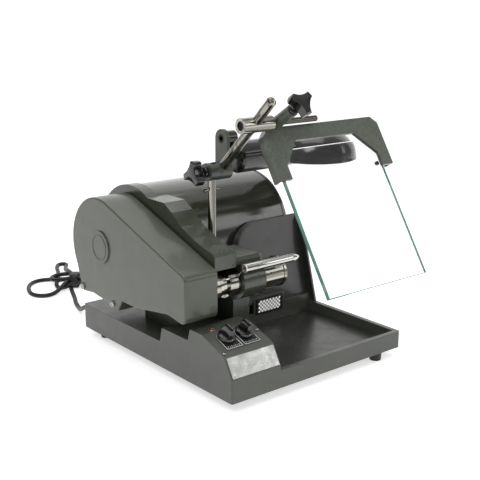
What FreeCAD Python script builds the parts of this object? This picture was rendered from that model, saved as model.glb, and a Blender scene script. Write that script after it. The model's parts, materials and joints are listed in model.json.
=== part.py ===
import FreeCAD, Part
import math
import os
import re
import Sketcher

# Bench dental lathe with a belt-driven spindle, catch pan, dust hood, glass shield and lamp.
# Sizes are millimetres and degrees. They are measured from the base: x from its left side,
# y from its front, z from the lower edge of its skirt. Every finished piece is then set so that
# the origin lies under the middle of the whole machine, at the level of the feet.

SIZES = {
    # Base casting
    "base_width": 300,
    "base_depth": 348,
    "base_wall": 5,
    "deck_height": 36,
    "deck_front": 176,
    "front_height": 30,
    "console_width": 78,
    "console_height": 72,
    "console_ledge": 56,
    "panel_foot": 15,
    "panel_head": 59,
    "console_back": 84,
    "ledge_end": 146,
    "ledge_slant": 5,
    "pan_floor": 10,
    "rim_height": 24,
    "rim_wall": 7,
    "casting_round": 2.5,
    "cover_thick": 2,
    "cover_margin": 2.5,
    "foot_height": 14,
    "foot_radius": 9,
    "foot_left": 22,
    "foot_under_console": 45,
    "foot_behind_front": 52,
    "foot_right": 33,
    "foot_front": 14,
    "foot_rear": 24,
    "fit_gap": 0.3,
    "slip_gap": 0.05,
    # Dust duct and outlet
    "duct_left": 162,
    "duct_width": 80,
    "duct_reach": 26,
    "duct_top": 50,
    "duct_wall": 4,
    "screen_left": 186,
    "screen_right": 237,
    "intake_low": 26,
    "intake_high": 44,
    "screen_thick": 1.2,
    "screen_lip": 3,
    "hole_radius": 1.6,
    "hole_pitch": 6,
    "spigot_radius": 14,
    "spigot_wall": 2,
    "spigot_reach": 26,
    "spigot_flange": 3,
    "spigot_side": 38,
    "spigot_z": 18,
    # Dust hood
    "hood_left": 147,
    "hood_top": 164,
    "hood_head": 266,
    "hood_foot": 24,
    "hood_back": 184.2,
    "hood_wall": 3,
    "hood_depth": 17,
    "hood_lip": 7,
    "hood_slope_top": 150,
    "hood_slope_low": 112,
    "hood_round": 38,
    # Motor
    "motor_y": 270,
    "motor_z": 135,
    "motor_radius": 84.5,
    "motor_wall": 3,
    "motor_left": 54,
    "motor_right": 250,
    "bell_thick": 9,
    "bell_round": 6,
    "bell_lip": 0.8,
    "shaft_radius": 8,
    "motor_bearing_radius": 20,
    "bearing_width": 12,
    "rotor_radius": 42,
    "rotor_left": 90,
    "rotor_length": 100,
    "air_gap": 1,
    "saddle_left": 150,
    "saddle_width": 36,
    "saddle_half": 60,
    "saddle_height": 30,
    "bolt_ring": 72,
    "bolt_angle": 30,
    "motor_screw_radius": 4,
    "motor_screw_head": 3.5,
    # Arm casting and spindle
    "arm_left": 36,
    "arm_plate": 18,
    "arm_web": 34,
    "arm_flange_radius": 86,
    "arm_front": 79,
    "arm_top": 163,
    "arm_under": 141,
    "arm_heel": 132,
    "arm_foot_thick": 8,
    "arm_foot_front": 156,
    "arm_foot_back": 240,
    "arm_foot_right": 80,
    "arm_round": 4,
    "spindle_y": 103,
    "spindle_z": 114,
    "housing_left": 84,
    "housing_right": 121,
    "housing_radius": 25,
    "housing_top": 150,
    "housing_back": 148,
    "housing_front": 85,
    "housing_round": 6,
    "leg_left": 92,
    "leg_width": 28,
    "leg_front": 112,
    "leg_knee": 46,
    "quill_radius": 15,
    "quill_left": 36,
    "collar_radius": 20,
    "collar_width": 14,
    "collar_step": 17,
    "spindle_radius": 8,
    "spindle_bearing_radius": 13,
    "chuck_radius": 20,
    "chuck_left": 123,
    "chuck_right": 157,
    "nose_radius": 14,
    "nose_right": 168,
    "collet_radius": 6,
    "collet_right": 173,
    "bur_bore": 1.6,
    "bur_depth": 22,
    # Belt drive
    "motor_pulley_radius": 50,
    "spindle_pulley_radius": 18,
    "pulley_left": 3,
    "pulley_width": 22,
    "pulley_rim": 3,
    "pulley_side": 3,
    "belt_thick": 3,
    # Belt guard
    "guard_reach": 17,
    "guard_right": 33,
    "guard_wall": 3,
    "guard_arc_y": 272,
    "guard_arc_z": 139,
    "guard_arc": 70.5,
    "guard_front": 70,
    "guard_fold": 18.9,
    "guard_low": 82,
    "guard_chin": 38,
    "guard_chin_rise": 6,
    "guard_heel_angle": 30,
    "guard_heel_y": 318,
    "guard_heel_z": 67,
    "guard_heel_out": 9,
    "guard_heel_rise": 18,
    "guard_heel_slant": 3,
    "guard_lug_y": 226,
    "guard_lug_z": 61,
    "guard_lug_half": 11,
    "guard_lug_slant": 3.5,
    "guard_lug_run": 65,
    "guard_waist": 77,
    "guard_waist_run": 46,
    "guard_round": 9,
    "guard_edge": 2,
    "boss_radius": 23,
    "boss_rise": 2,
    "boss_y": 266,
    "boss_z": 142,
    "guard_screw_radius": 4.5,
    "guard_screw_rise": 1.6,
    "guard_stud": 3.5,
    "stud_inset": 12,
    "stud_rise": 7,
    # Chuck release lever
    "lever_plane": 80,
    "lever_width": 17,
    "lever_left": 66,
    "lever_hub_radius": 19,
    "lever_arm": 41,
    "lever_angle": 38.4,
    "lever_rod_radius": 2,
    "handle_radius": 5.5,
    "handle_bore": 2.2,
    "handle_left": 76.5,
    "handle_length": 94.5,
    "handle_tip": 10,
    # Console fittings
    "knob_left": 25,
    "knob_pitch": 28,
    "knob_along": 17,
    "knob_radius": 12,
    "knob_skirt": 5,
    "knob_height": 20,
    "knob_fin": 6,
    "switch_shaft": 3,
    "switch_reach": 20,
    "switch_depth": 22,
    "switch_size": 22,
    "legend_thick": 0.8,
    "legend_half": 12.5,
    "legend_tail": 20,
    "plate_margin": 2,
    "plate_thick": 1,
    "pilot_radius": 3,
    "pilot_x": 19,
    "pilot_y": 64,
    "panel_screw_radius": 2.5,
    # Shield post and lower clamp
    "post_x": 92.5,
    "post_y": 158,
    "post_radius": 5.5,
    "post_foot": 92,
    "boss_wall": 5,
    "boss_top": 142,
    "clamp_z": 250,
    "clamp_radius": 12,
    "clamp_left": 83,
    "clamp_split": 99.4,
    "clamp_right": 119,
    "hub_spigot": 3.5,
    "pin_height": 226,
    "cross_pin_radius": 1.3,
    "cross_pin_half": 12,
    "cross_ball": 2.6,
    "knob_core": 7,
    "knob_reach": 16.5,
    "star_thick": 13,
    "star_dome": 1.5,
    "knob_neck": 12,
    "knob_stud": 3.5,
    "scallop_offset": 31.5,
    "scallop_radius": 24,
    "lower_lobe_turn": -10,
    "upper_lobe_turn": 33,
    "stud_radius": 4,
    # Tilting rod, sleeve and shield
    "rod_x": 106.5,
    "rod_radius": 6.4,
    "rod_lean": 45.6,
    "rod_length": 146.6,
    "rod_start": 8,
    "sleeve_at": 97,
    "sleeve_left": 84,
    "sleeve_right": 134,
    "sleeve_radius": 10,
    "pivot_radius": 4,
    "pivot_left": 114,
    "pivot_right": 213,
    "socket_depth": 5,
    "socket_radius": 6,
    "shield_tilt": 32.3,
    "frame_left": 122,
    "frame_width": 210,
    "bar_height": 21,
    "leg_end": 76,
    "leg_foot": 20.5,
    "gusset_drop": 57,
    "frame_chamfer": 10,
    "frame_front": 7.3,
    "frame_plate": 5,
    "frame_top": 3.4,
    "frame_back": 21.3,
    "gusset_left": 29,
    "gusset_right": 32,
    "frame_rim": 4,
    "barrel_x": 145,
    "barrel_radius": 8,
    "barrel_reach": 34,
    "glass_side": 11,
    "glass_thick": 5,
    "glass_high": 34,
    "glass_low": 235.5,
    "glass_screw_radius": 3,
    "glass_right": 15.5,
    "glass_screw_inset": 6,
    # Lamp
    "lamp_y": 182,
    "lamp_z": 287.5,
    "bracket_x": 127,
    "bracket_thick": 5,
    "bracket_half": 13,
    "bracket_low": 240,
    "bracket_foot_left": 85,
    "bracket_foot_high": 14,
    "bracket_foot_thick": 6,
    "lamp_bolt_radius": 6,
    "lamp_barrel_radius": 10,
    "lamp_barrel": 16,
    "socket_drop": 28,
    "socket_length": 112,
    "lamp_socket_radius": 22,
    "shade_x": 299,
    "shade_rim_z": 243,
    "shade_radius": 63,
    "shade_height": 46,
    "shade_wall": 1.5,
    "shade_square": 0.8,
    "bulb_radius": 14,
    "bulb_neck": 9,
    # Mains lead
    "cord_radius": 3.6,
    "gland_x": 30,
    "gland_z": 14,
    "gland_radius": 8,
    "gland_neck": 6,
    "gland_tail": 24,
    "plug_radius": 14,
    "plug_length": 42,
    "pin_length": 16,
    "plug_along": 90,
    "plug_back": -19.5,
    # Tied hank, measured along and behind its first turn
    "hank_x": 92.7,
    "hank_y": 546.2,
    "hank_turn": 39,
    "bundle_start": -12,
    "bundle_front": 8,
    "bundle_length": 87,
    "bundle_width": 29,
    "bundle_height": 23.6,
    "tongue_x": -10,
    "tongue_y": 28,
    "tongue_turn": 108.4,
    "tongue_length": 118.5,
    "tongue_half": 16,
    "fold_x": 118,
    "fold_y": 25,
    "fold_radius": 28,
    "fold_height": 22,
    "tail_x": 20,
    "tail_y": 12,
    "tail_turn": -24.2,
    "tail_length": 76.8,
    "tail_rise": 30,
    "tail_top": 17.6,
}

doc = FreeCAD.newDocument("DentalLathe")
sheet = doc.addObject("Spreadsheet::Sheet", "Sizes")
for row, (alias, value) in enumerate(SIZES.items(), 1):
    sheet.set(f"A{row}", alias)
    sheet.set(f"B{row}", str(value))
    sheet.setAlias(f"B{row}", alias)
doc.recompute()

# Places that follow from the driving sizes, as formulas in their names
PIN_Y = "(post_y - sleeve_at * sin(rod_lean))"
PIN_Z = "(clamp_z + sleeve_at * cos(rod_lean))"
GLASS_FRONT = "(frame_front + frame_plate)"
GLASS_WIDTH = "(frame_width - glass_side - glass_right)"
FRONT_REACH = f"({PIN_Y} + {GLASS_FRONT} * cos(shield_tilt) - glass_low * sin(shield_tilt))"
CENTRE_X = "(shade_x + shade_radius - guard_reach - boss_rise) / 2"
CENTRE_Y = f"(base_depth + spigot_reach + {FRONT_REACH}) / 2"
PANEL_RISE = "(console_height - console_ledge)"
PANEL_ANGLE = f"atan({PANEL_RISE} / (panel_head - panel_foot))"
DRIVE_LENGTH = "sqrt((motor_y - spindle_y)^2 + (motor_z - spindle_z)^2)"
DRIVE_ANGLE = "atan((motor_z - spindle_z) / (motor_y - spindle_y))"
PLATE_ANGLE = "atan((console_ledge - front_height) / panel_foot)"

X_AXIS = FreeCAD.Vector(1, 0, 0)
Y_AXIS = FreeCAD.Vector(0, 1, 0)
Z_AXIS = FreeCAD.Vector(0, 0, 1)
TURNS = {
    "z": FreeCAD.Rotation(),
    "-z": FreeCAD.Rotation(X_AXIS, 180),
    "x": FreeCAD.Rotation(Y_AXIS, 90),
    "-x": FreeCAD.Rotation(Y_AXIS, -90),
    "y": FreeCAD.Rotation(X_AXIS, -90),
    "-y": FreeCAD.Rotation(X_AXIS, 90),
}

finished = []


def formula(text):
    """Put the sheet's name before each size named in a formula."""
    def with_sheet(match):
        word = match.group(0)
        return "Sizes." + word if word in SIZES else word
    return re.sub(r"[a-z_][a-z_0-9]*", with_sheet, text)


def bind(item, prop, text):
    item.setExpression(prop, formula(text))


def numbered(kind, label):
    item = doc.addObject(kind, label)
    item.Label = label
    return item


def finish(item, x="0", y="0", z="0", turn=None, about=X_AXIS):
    """Place a finished piece: its own corner at x, y, z of the base, turned about one axis."""
    if turn is not None:
        item.Placement = FreeCAD.Placement(FreeCAD.Vector(), FreeCAD.Rotation(about, 1))
        bind(item, "Placement.Rotation.Angle", turn)
    bind(item, "Placement.Base.x", f"{x} - {CENTRE_X}")
    bind(item, "Placement.Base.y", f"{y} - {CENTRE_Y}")
    bind(item, "Placement.Base.z", f"{z} + foot_height")
    finished.append(item)
    return item


def in_rod_frame(item):
    """Place a piece drawn about the lower clamp, leaning forward with the rod."""
    return finish(item, "0", "post_y", "clamp_z", "rod_lean")


def in_sleeve_frame(item):
    """Place a piece drawn about the shield's pivot, leaning with the rod."""
    return finish(item, "0", PIN_Y, PIN_Z, "rod_lean")


def in_shield_frame(item):
    """Place a piece drawn about the shield's pivot, tilted with the shield."""
    return finish(item, "0", PIN_Y, PIN_Z, "-shield_tilt")


# Solids of the Part workbench

def primitive(kind, label, at, toward, **dims):
    item = numbered(kind, label)
    for prop, text in dims.items():
        bind(item, prop, text)
    item.Placement = FreeCAD.Placement(FreeCAD.Vector(), TURNS[toward])
    for axis, text in zip("xyz", at):
        bind(item, "Placement.Base." + axis, text)
    return item


def box(label, at, length, width, height):
    return primitive("Part::Box", label, at, "z", Length=length, Width=width, Height=height)


def rod(label, at, toward, radius, length):
    return primitive("Part::Cylinder", label, at, toward, Radius=radius, Height=length)


def cone(label, at, toward, radius, end_radius, length):
    return primitive("Part::Cone", label, at, toward, Radius1=radius, Radius2=end_radius, Height=length)


def fuse(label, items):
    item = numbered("Part::MultiFuse", label)
    item.Shapes = items
    return item


def group(label, items):
    """Separate solids that share one node."""
    item = numbered("Part::Compound", label)
    item.Links = items
    return item


def cut(label, base, tools):
    item = numbered("Part::Cut", label)
    item.Base = base
    item.Tool = tools[0] if len(tools) == 1 else fuse(label + "_tools", tools)
    return item


def tube(label, at, toward, radius, bore, length):
    """A ring or pipe between two radii."""
    outer = rod(label + "_outer", at, toward, radius, length)
    inner = rod(label + "_bore", at, toward, bore, length)
    return cut(label, outer, [inner])


# Sketches and bodies of the PartDesign workbench

def origin_plane(body, role):
    return next(item for item in body.Origin.OriginFeatures if item.Role == role)


def new_sketch(body, name, plane, offset):
    sketch = body.newObject("Sketcher::SketchObject", name)
    sketch.AttachmentSupport = [(origin_plane(body, plane), "")]
    sketch.MapMode = "FlatFace"
    bind(sketch, "AttachmentOffset.Base.z", offset)
    return sketch


def outline(body, name, plane, points, offset="0"):
    """A closed outline of straight sides, each corner held by two formulas."""
    sketch = new_sketch(body, name, plane, offset)
    count = len(points)
    corners = []
    for index in range(count):
        angle = 2 * math.pi * index / count
        corners.append(FreeCAD.Vector(math.cos(angle), math.sin(angle), 0))
    for index in range(count):
        sketch.addGeometry(Part.LineSegment(corners[index], corners[(index + 1) % count]))
    for index in range(count):
        sketch.addConstraint(Sketcher.Constraint("Coincident", index, 2, (index + 1) % count, 1))
    for index, (across, up) in enumerate(points):
        corner = corners[index]
        held = sketch.addConstraint(Sketcher.Constraint("DistanceX", -1, 1, index, 1, corner.x))
        bind(sketch, f"Constraints[{held}]", across)
        held = sketch.addConstraint(Sketcher.Constraint("DistanceY", -1, 1, index, 1, corner.y))
        bind(sketch, f"Constraints[{held}]", up)
    return sketch


def circle(body, name, plane, across, up, radius, offset="0"):
    sketch = new_sketch(body, name, plane, offset)
    sketch.addGeometry(Part.Circle(FreeCAD.Vector(1, 1, 0), Z_AXIS, 1))
    held = sketch.addConstraint(Sketcher.Constraint("DistanceX", -1, 1, 0, 3, 1))
    bind(sketch, f"Constraints[{held}]", across)
    held = sketch.addConstraint(Sketcher.Constraint("DistanceY", -1, 1, 0, 3, 1))
    bind(sketch, f"Constraints[{held}]", up)
    held = sketch.addConstraint(Sketcher.Constraint("Radius", 0, 1))
    bind(sketch, f"Constraints[{held}]", radius)
    return sketch


def pad(body, sketch, length, reverse=False):
    feature = body.newObject("PartDesign::Pad", sketch.Label + "_pad")
    feature.Profile = sketch
    feature.Reversed = reverse
    bind(feature, "Length", length)
    return feature


def pocket(body, sketch, length, reverse=False):
    feature = body.newObject("PartDesign::Pocket", sketch.Label + "_pocket")
    feature.Profile = sketch
    feature.Reversed = reverse
    bind(feature, "Length", length)
    return feature


def turned(label, points, upright=False):
    """A round piece: its half outline, as (along, radius), turned about its own axis.

    The axis is x, or z for an upright piece."""
    body = numbered("PartDesign::Body", label)
    if upright:
        sketch = outline(body, label + "_half", "XZ_Plane", [(radius, along) for along, radius in points])
        axis = "V_Axis"
    else:
        sketch = outline(body, label + "_half", "XY_Plane", points)
        axis = "H_Axis"
    feature = body.newObject("PartDesign::Revolution", label + "_turn")
    feature.Profile = sketch
    feature.ReferenceAxis = (sketch, [axis])
    feature.Angle = 360
    return body


def edges_along(shape, axis, near):
    """Names of straight edges that run along an axis and meet a test on their middle."""
    names = []
    for index, edge in enumerate(shape.Edges, 1):
        if edge.Curve.TypeId != "Part::GeomLine":
            continue
        if abs(abs(edge.tangentAt(edge.FirstParameter).dot(axis)) - 1) > 1e-6:
            continue
        if near(edge.CenterOfMass):
            names.append(f"Edge{index}")
    return names


def rounded(body, feature, names, radius):
    """A fillet of one radius on the named edges."""
    fillet = body.newObject("PartDesign::Fillet", feature.Label + "_round")
    fillet.Base = (feature, names)
    bind(fillet, "Radius", radius)
    return fillet


def size(alias):
    return float(SIZES[alias])


# Base, cover and feet

def knob_place(index):
    """The point on the sloping panel under one of the two knobs."""
    x = f"knob_left + {index} * knob_pitch"
    y = f"panel_head - knob_along * cos({PANEL_ANGLE})"
    z = f"console_height - knob_along * sin({PANEL_ANGLE})"
    return x, y, z


def make_base():
    body = numbered("PartDesign::Body", "base_body")
    tray = outline(body, "tray", "XY_Plane", [
        ("0", "0"), ("base_width", "0"), ("base_width", "base_depth"), ("0", "base_depth")])
    pad(body, tray, "rim_height")
    deck = outline(body, "deck", "XY_Plane", [
        ("0", "deck_front"), ("base_width", "deck_front"),
        ("base_width", "base_depth"), ("0", "base_depth")])
    pad(body, deck, "deck_height")
    console = outline(body, "console", "YZ_Plane", [
        ("0", "0"), ("0", "front_height"), ("panel_foot", "console_ledge"),
        ("panel_head", "console_height"), ("console_back", "console_height"),
        ("console_back + ledge_slant", "console_ledge"), ("ledge_end", "console_ledge"),
        ("ledge_end + ledge_slant", "deck_height"), ("deck_front + base_wall", "deck_height"),
        ("deck_front + base_wall", "0")])
    pad(body, console, "console_width")
    duct = outline(body, "duct", "XY_Plane", [
        ("duct_left", "deck_front"), ("duct_left + duct_width", "deck_front"),
        ("duct_left + duct_width", "deck_front + duct_reach"),
        ("duct_left", "deck_front + duct_reach")])
    duct_pad = pad(body, duct, "duct_top")
    doc.recompute()
    width = size("base_width")
    depth = size("base_depth")

    def at_corner(point):
        at_side = min(point.x, width - point.x) < 0.01
        at_end = min(point.y, depth - point.y) < 0.01
        return at_side and at_end

    rounded(body, duct_pad, edges_along(duct_pad.Shape, Z_AXIS, at_corner), "casting_round")
    pan = outline(body, "pan", "XY_Plane", [
        ("console_width", "rim_wall"), ("base_width - rim_wall", "rim_wall"),
        ("base_width - rim_wall", "deck_front"), ("console_width", "deck_front")], "pan_floor")
    pocket(body, pan, "console_height", True)
    hollow = outline(body, "hollow", "YZ_Plane", [
        ("base_wall", "0"), ("base_wall", "front_height - base_wall"),
        ("panel_foot + base_wall", f"console_ledge - base_wall + base_wall * tan({PANEL_ANGLE})"),
        ("panel_head", "console_height - base_wall"),
        ("console_back - base_wall", "console_height - base_wall"),
        ("console_back + ledge_slant - base_wall", "console_ledge - base_wall"),
        ("ledge_end - base_wall", "console_ledge - base_wall"),
        ("ledge_end + ledge_slant - base_wall", "deck_height - base_wall"),
        ("base_depth - base_wall", "deck_height - base_wall"),
        ("base_depth - base_wall", "0")], "base_wall")
    pocket(body, hollow, "console_width - 2 * base_wall", True)
    under_deck = outline(body, "under_deck", "XY_Plane", [
        ("base_wall", "deck_front + base_wall"),
        ("base_width - base_wall", "deck_front + base_wall"),
        ("base_width - base_wall", "base_depth - base_wall"),
        ("base_wall", "base_depth - base_wall")])
    pocket(body, under_deck, "deck_height - base_wall", True)
    duct_hollow = outline(body, "duct_hollow", "XY_Plane", [
        ("duct_left + duct_wall", "deck_front + duct_wall"),
        ("duct_left + duct_width - duct_wall", "deck_front + duct_wall"),
        ("duct_left + duct_width - duct_wall", "deck_front + duct_reach - duct_wall"),
        ("duct_left + duct_wall", "deck_front + duct_reach - duct_wall")], "intake_low")
    pocket(body, duct_hollow, "duct_top - duct_wall - intake_low", True)
    intake = outline(body, "intake", "XZ_Plane", [
        ("screen_left + screen_lip", "intake_low"), ("screen_right - screen_lip", "intake_low"),
        ("screen_right - screen_lip", "intake_high"), ("screen_left + screen_lip", "intake_high")],
        "-deck_front - 2 * duct_wall")
    pocket(body, intake, "3 * duct_wall", True)
    bypass = outline(body, "bypass", "XZ_Plane", [
        ("duct_left + duct_wall", "intake_low"), ("screen_left - duct_wall", "intake_low"),
        ("screen_left - duct_wall", "intake_high"), ("duct_left + duct_wall", "intake_high")],
        "-deck_front - 2 * duct_wall")
    pocket(body, bypass, "3 * duct_wall", True)
    rebate = outline(body, "rebate", "XY_Plane", [
        ("cover_margin", "cover_margin"), ("base_width - cover_margin", "cover_margin"),
        ("base_width - cover_margin", "base_depth - cover_margin"),
        ("cover_margin", "base_depth - cover_margin")])
    pocket(body, rebate, "cover_thick", True)
    bores = []
    for index in range(2):
        x, y, z = knob_place(index)
        at = (x, f"{y} + 2 * base_wall * sin({PANEL_ANGLE})", f"{z} - 2 * base_wall * cos({PANEL_ANGLE})")
        bore = rod(f"panel_bore_{index}", at, "z", "switch_shaft + fit_gap", "3 * base_wall")
        bore.Placement.Rotation = FreeCAD.Rotation(X_AXIS, 1)
        bind(bore, "Placement.Rotation.Angle", PANEL_ANGLE)
        bores.append(bore)
    bores.append(rod("cord_bore", ("gland_x", "base_depth - 2 * base_wall", "gland_z"), "y",
                     "gland_neck + slip_gap", "3 * base_wall"))
    outlet_at = ("base_width - spigot_side", "base_depth - 2 * base_wall", "spigot_z")
    bores.append(rod("outlet_bore", outlet_at, "y", "spigot_radius + slip_gap", "3 * base_wall"))
    finish(cut("base_casting", body, bores))


def make_cover():
    edge = "cover_margin + fit_gap"
    finish(box("bottom_cover", ("0", "0", "0"), f"base_width - 2 * ({edge})",
               f"base_depth - 2 * ({edge})", "cover_thick"), edge, edge)


def make_feet():
    places = {
        "foot_front_left": ("foot_under_console", "foot_behind_front"),
        "foot_front_right": ("base_width - foot_right", "foot_front"),
        "foot_rear_left": ("foot_left", "base_depth - foot_rear"),
        "foot_rear_right": ("base_width - foot_right", "base_depth - foot_rear"),
    }
    feet = []
    for label, (x, y) in places.items():
        feet.append(cone(label, (x, y, "0"), "z", "foot_radius - 1", "foot_radius", "foot_height"))
    finish(group("rubber_feet", feet), "0", "0", "-foot_height")


# Dust intake, hood and outlet

def make_screen():
    body = numbered("PartDesign::Body", "perforated_screen")
    plate = outline(body, "screen_plate", "XZ_Plane", [
        ("screen_left", "intake_low - screen_lip"), ("screen_right", "intake_low - screen_lip"),
        ("screen_right", "intake_high + screen_lip"), ("screen_left", "intake_high + screen_lip")],
        "-deck_front")
    pad(body, plate, "screen_thick")
    holes = new_sketch(body, "screen_holes", "XZ_Plane", "-deck_front - screen_thick")
    pitch = size("hole_pitch")
    margin = size("screen_lip") + size("hole_radius")
    columns = int((size("screen_right") - size("screen_left") - 2 * margin) / pitch * 2) + 1
    rows = int((size("intake_high") - size("intake_low")) / (pitch / 2))
    for column in range(columns):
        for row in range(rows):
            if (column + row) % 2:
                continue
            index = holes.addGeometry(Part.Circle(FreeCAD.Vector(1, 1, 0), Z_AXIS, 1))
            held = holes.addConstraint(Sketcher.Constraint("DistanceX", -1, 1, index, 3, 1))
            bind(holes, f"Constraints[{held}]",
                 f"(screen_left + screen_right) / 2 + {column - (columns - 1) / 2} * hole_pitch / 2")
            held = holes.addConstraint(Sketcher.Constraint("DistanceY", -1, 1, index, 3, 1))
            bind(holes, f"Constraints[{held}]",
                 f"(intake_low + intake_high) / 2 + {row - (rows - 1) / 2} * hole_pitch / 2")
            held = holes.addConstraint(Sketcher.Constraint("Radius", index, 1))
            bind(holes, f"Constraints[{held}]", "hole_radius")
    pocket(body, holes, "3 * screen_thick", True)
    finish(body)


def make_hood():
    """A back wall with rolled sides; its right side leans out to the rim of the pan."""
    body = numbered("PartDesign::Body", "hood_body")
    back = outline(body, "hood_outline", "XZ_Plane", [
        ("hood_left", "hood_foot"), ("hood_left", "hood_top"), ("hood_head", "hood_top"),
        ("base_width", "hood_foot")], "-hood_back")
    hood = pad(body, back, "hood_depth")
    doc.recompute()
    left = size("hood_left")
    top = size("hood_top")

    def at_shoulder(point):
        return abs(point.x - left) < 0.01 and abs(point.z - top) < 0.01

    rounded_hood = rounded(body, hood, edges_along(hood.Shape, Y_AXIS, at_shoulder), "hood_round")
    doc.recompute()
    front_y = size("hood_back") - size("hood_depth")
    open_faces = []
    for index, face in enumerate(rounded_hood.Shape.Faces, 1):
        centre = face.CenterOfMass
        if abs(centre.y - front_y) < 0.01 or abs(centre.z - size("hood_foot")) < 0.01:
            open_faces.append(f"Face{index}")
    shell = body.newObject("PartDesign::Thickness", "hood_shell")
    shell.Base = (rounded_hood, open_faces)
    shell.Reversed = True
    shell.Join = 1
    bind(shell, "Value", "hood_wall")
    slope = outline(body, "hood_slope", "YZ_Plane", [
        ("hood_back - hood_wall", "hood_top + 1"), ("hood_back - hood_depth - 1", "hood_top + 1"),
        ("hood_back - hood_depth - 1", "hood_slope_low"), ("hood_back - hood_depth", "hood_slope_low"),
        ("hood_back - hood_wall - hood_lip", "hood_slope_top"),
        ("hood_back - hood_wall", "hood_top - hood_wall")])
    pocket(body, slope, "2 * base_width", True)
    clear = "hood_back - hood_depth - 1"
    over_deck = box("hood_over_deck", ("0", "deck_front - fit_gap", "0"), "2 * base_width",
                    "base_depth", "deck_height + slip_gap")
    over_rim = box("hood_over_rim", ("base_width - rim_wall - fit_gap", clear, "0"), "base_width",
                   "base_depth", "rim_height + slip_gap")
    over_duct = box("hood_over_duct", ("duct_left - fit_gap", "deck_front - fit_gap", "0"),
                    "duct_width + 2 * fit_gap", "base_depth", "duct_top + fit_gap")
    finish(cut("dust_hood", body, [over_deck, over_rim, over_duct]))


def make_outlet():
    outlet = turned("dust_outlet", [
        ("-base_wall", "spigot_radius - spigot_wall"), ("-base_wall", "spigot_radius"),
        ("0", "spigot_radius"), ("0", "spigot_radius + spigot_flange"),
        ("spigot_flange", "spigot_radius + spigot_flange"), ("spigot_flange", "spigot_radius"),
        ("spigot_reach", "spigot_radius"), ("spigot_reach", "spigot_radius - spigot_wall")])
    finish(outlet, "base_width - spigot_side", "base_depth", "spigot_z", "90", Z_AXIS)


# Motor

def in_motor(item, x):
    return finish(item, x, "motor_y", "motor_z")


def make_motor():
    bore = "motor_radius - motor_wall"
    length = "(motor_right - motor_left)"
    in_motor(turned("motor_shell", [
        ("0", bore), ("0", "motor_radius"), (length, "motor_radius"), (length, bore)]), "motor_left")
    in_motor(turned("motor_end_bell", [
        ("-bell_thick", "motor_bearing_radius + slip_gap"),
        ("-bell_thick", "motor_bearing_radius + bell_round"),
        ("0", "motor_bearing_radius + bell_round"), ("0", f"{bore} - 2 * bell_round"),
        ("-bell_thick", f"{bore} - bell_round"), ("-bell_thick", bore), ("0", bore), ("0",
            "motor_radius + bell_lip"),
        ("2", "motor_radius + bell_lip"), ("2", "motor_radius - 1"), ("bell_thick - bell_round / 2",
            "motor_radius - 1"),
        ("bell_thick - 1", "motor_radius - bell_round / 2"), ("bell_thick", "motor_radius - bell_round"),
        ("bell_thick", "shaft_radius + 2"), ("bell_thick - 2", "shaft_radius + 2"),
        ("bell_thick - 2", "motor_bearing_radius + slip_gap")]), "motor_right")
    bolts = []
    for index in range(4):
        angle = f"({index} * 90 + bolt_angle)"
        at = ("0", f"bolt_ring * cos({angle})", f"bolt_ring * sin({angle})")
        bolts.append(rod(f"motor_bolt_{index}", at, "x", "motor_screw_radius", "motor_screw_head"))
    in_motor(group("motor_bolts", bolts), "motor_right + bell_thick")
    finish(tube("stator", ("0", "0", "0"), "x", f"{bore} - slip_gap", "rotor_radius + air_gap",
                "rotor_length"),
           "rotor_left", "motor_y", "motor_z")
    bearing = "motor_bearing_radius"
    hole = "shaft_radius + slip_gap"
    near = tube("bearing_near", ("motor_left - bearing_width - 2", "0", "0"), "x", bearing, hole,
                "bearing_width")
    far = tube("bearing_far", ("motor_right - bell_thick", "0", "0"), "x", bearing, hole, "bearing_width")
    in_motor(group("motor_bearings", [near, far]), "0")
    saddle = box("saddle_block", ("0", "motor_y - saddle_half", "deck_height"), "saddle_width",
                 "2 * saddle_half", "saddle_height")
    seat = rod("saddle_seat", ("-1", "motor_y", "motor_z"), "x", "motor_radius", "saddle_width + 2")
    finish(cut("motor_saddle", saddle, [seat]), "saddle_left")


def make_rotor():
    in_motor(tube("rotor", ("0", "0", "0"), "x", "rotor_radius", "shaft_radius", "rotor_length"),
             "rotor_left")
    in_motor(rod("motor_shaft", ("0", "0", "0"), "x", "shaft_radius", "motor_right - pulley_left"),
             "pulley_left")


def pulley(label, radius, bore):
    inner_left = "pulley_side"
    inner_right = "(pulley_width - pulley_side)"
    rim = f"({radius} + pulley_rim)"
    return turned(label, [
        ("0", bore), ("0", rim), (inner_left, rim), (inner_left, radius),
        (inner_right, radius), (inner_right, rim), ("pulley_width", rim), ("pulley_width", bore)])


# Belt, guard and their fixings

def in_drive(item, x):
    """Place a piece drawn about the spindle, its y along the line to the motor."""
    return finish(item, x, "spindle_y", "spindle_z", DRIVE_ANGLE)


def belt_loop(label, margin, left, width):
    """The space round which a belt would run, both pulleys bigger by a margin."""
    near = f"(spindle_pulley_radius + {margin})"
    far = f"(motor_pulley_radius + {margin})"
    lean = f"asin((motor_pulley_radius - spindle_pulley_radius) / {DRIVE_LENGTH})"
    body = numbered("PartDesign::Body", label + "_span")
    span = outline(body, label + "_sides", "YZ_Plane", [
        (f"-{near} * sin({lean})", f"{near} * cos({lean})"),
        (f"-{near} * sin({lean})", f"-{near} * cos({lean})"),
        (f"{DRIVE_LENGTH} - {far} * sin({lean})", f"-{far} * cos({lean})"),
        (f"{DRIVE_LENGTH} - {far} * sin({lean})", f"{far} * cos({lean})")], left)
    pad(body, span, width)
    small = rod(label + "_small", (left, "0", "0"), "x", near, width)
    large = rod(label + "_large", (left, DRIVE_LENGTH, "0"), "x", far, width)
    return fuse(label, [body, small, large])


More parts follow.
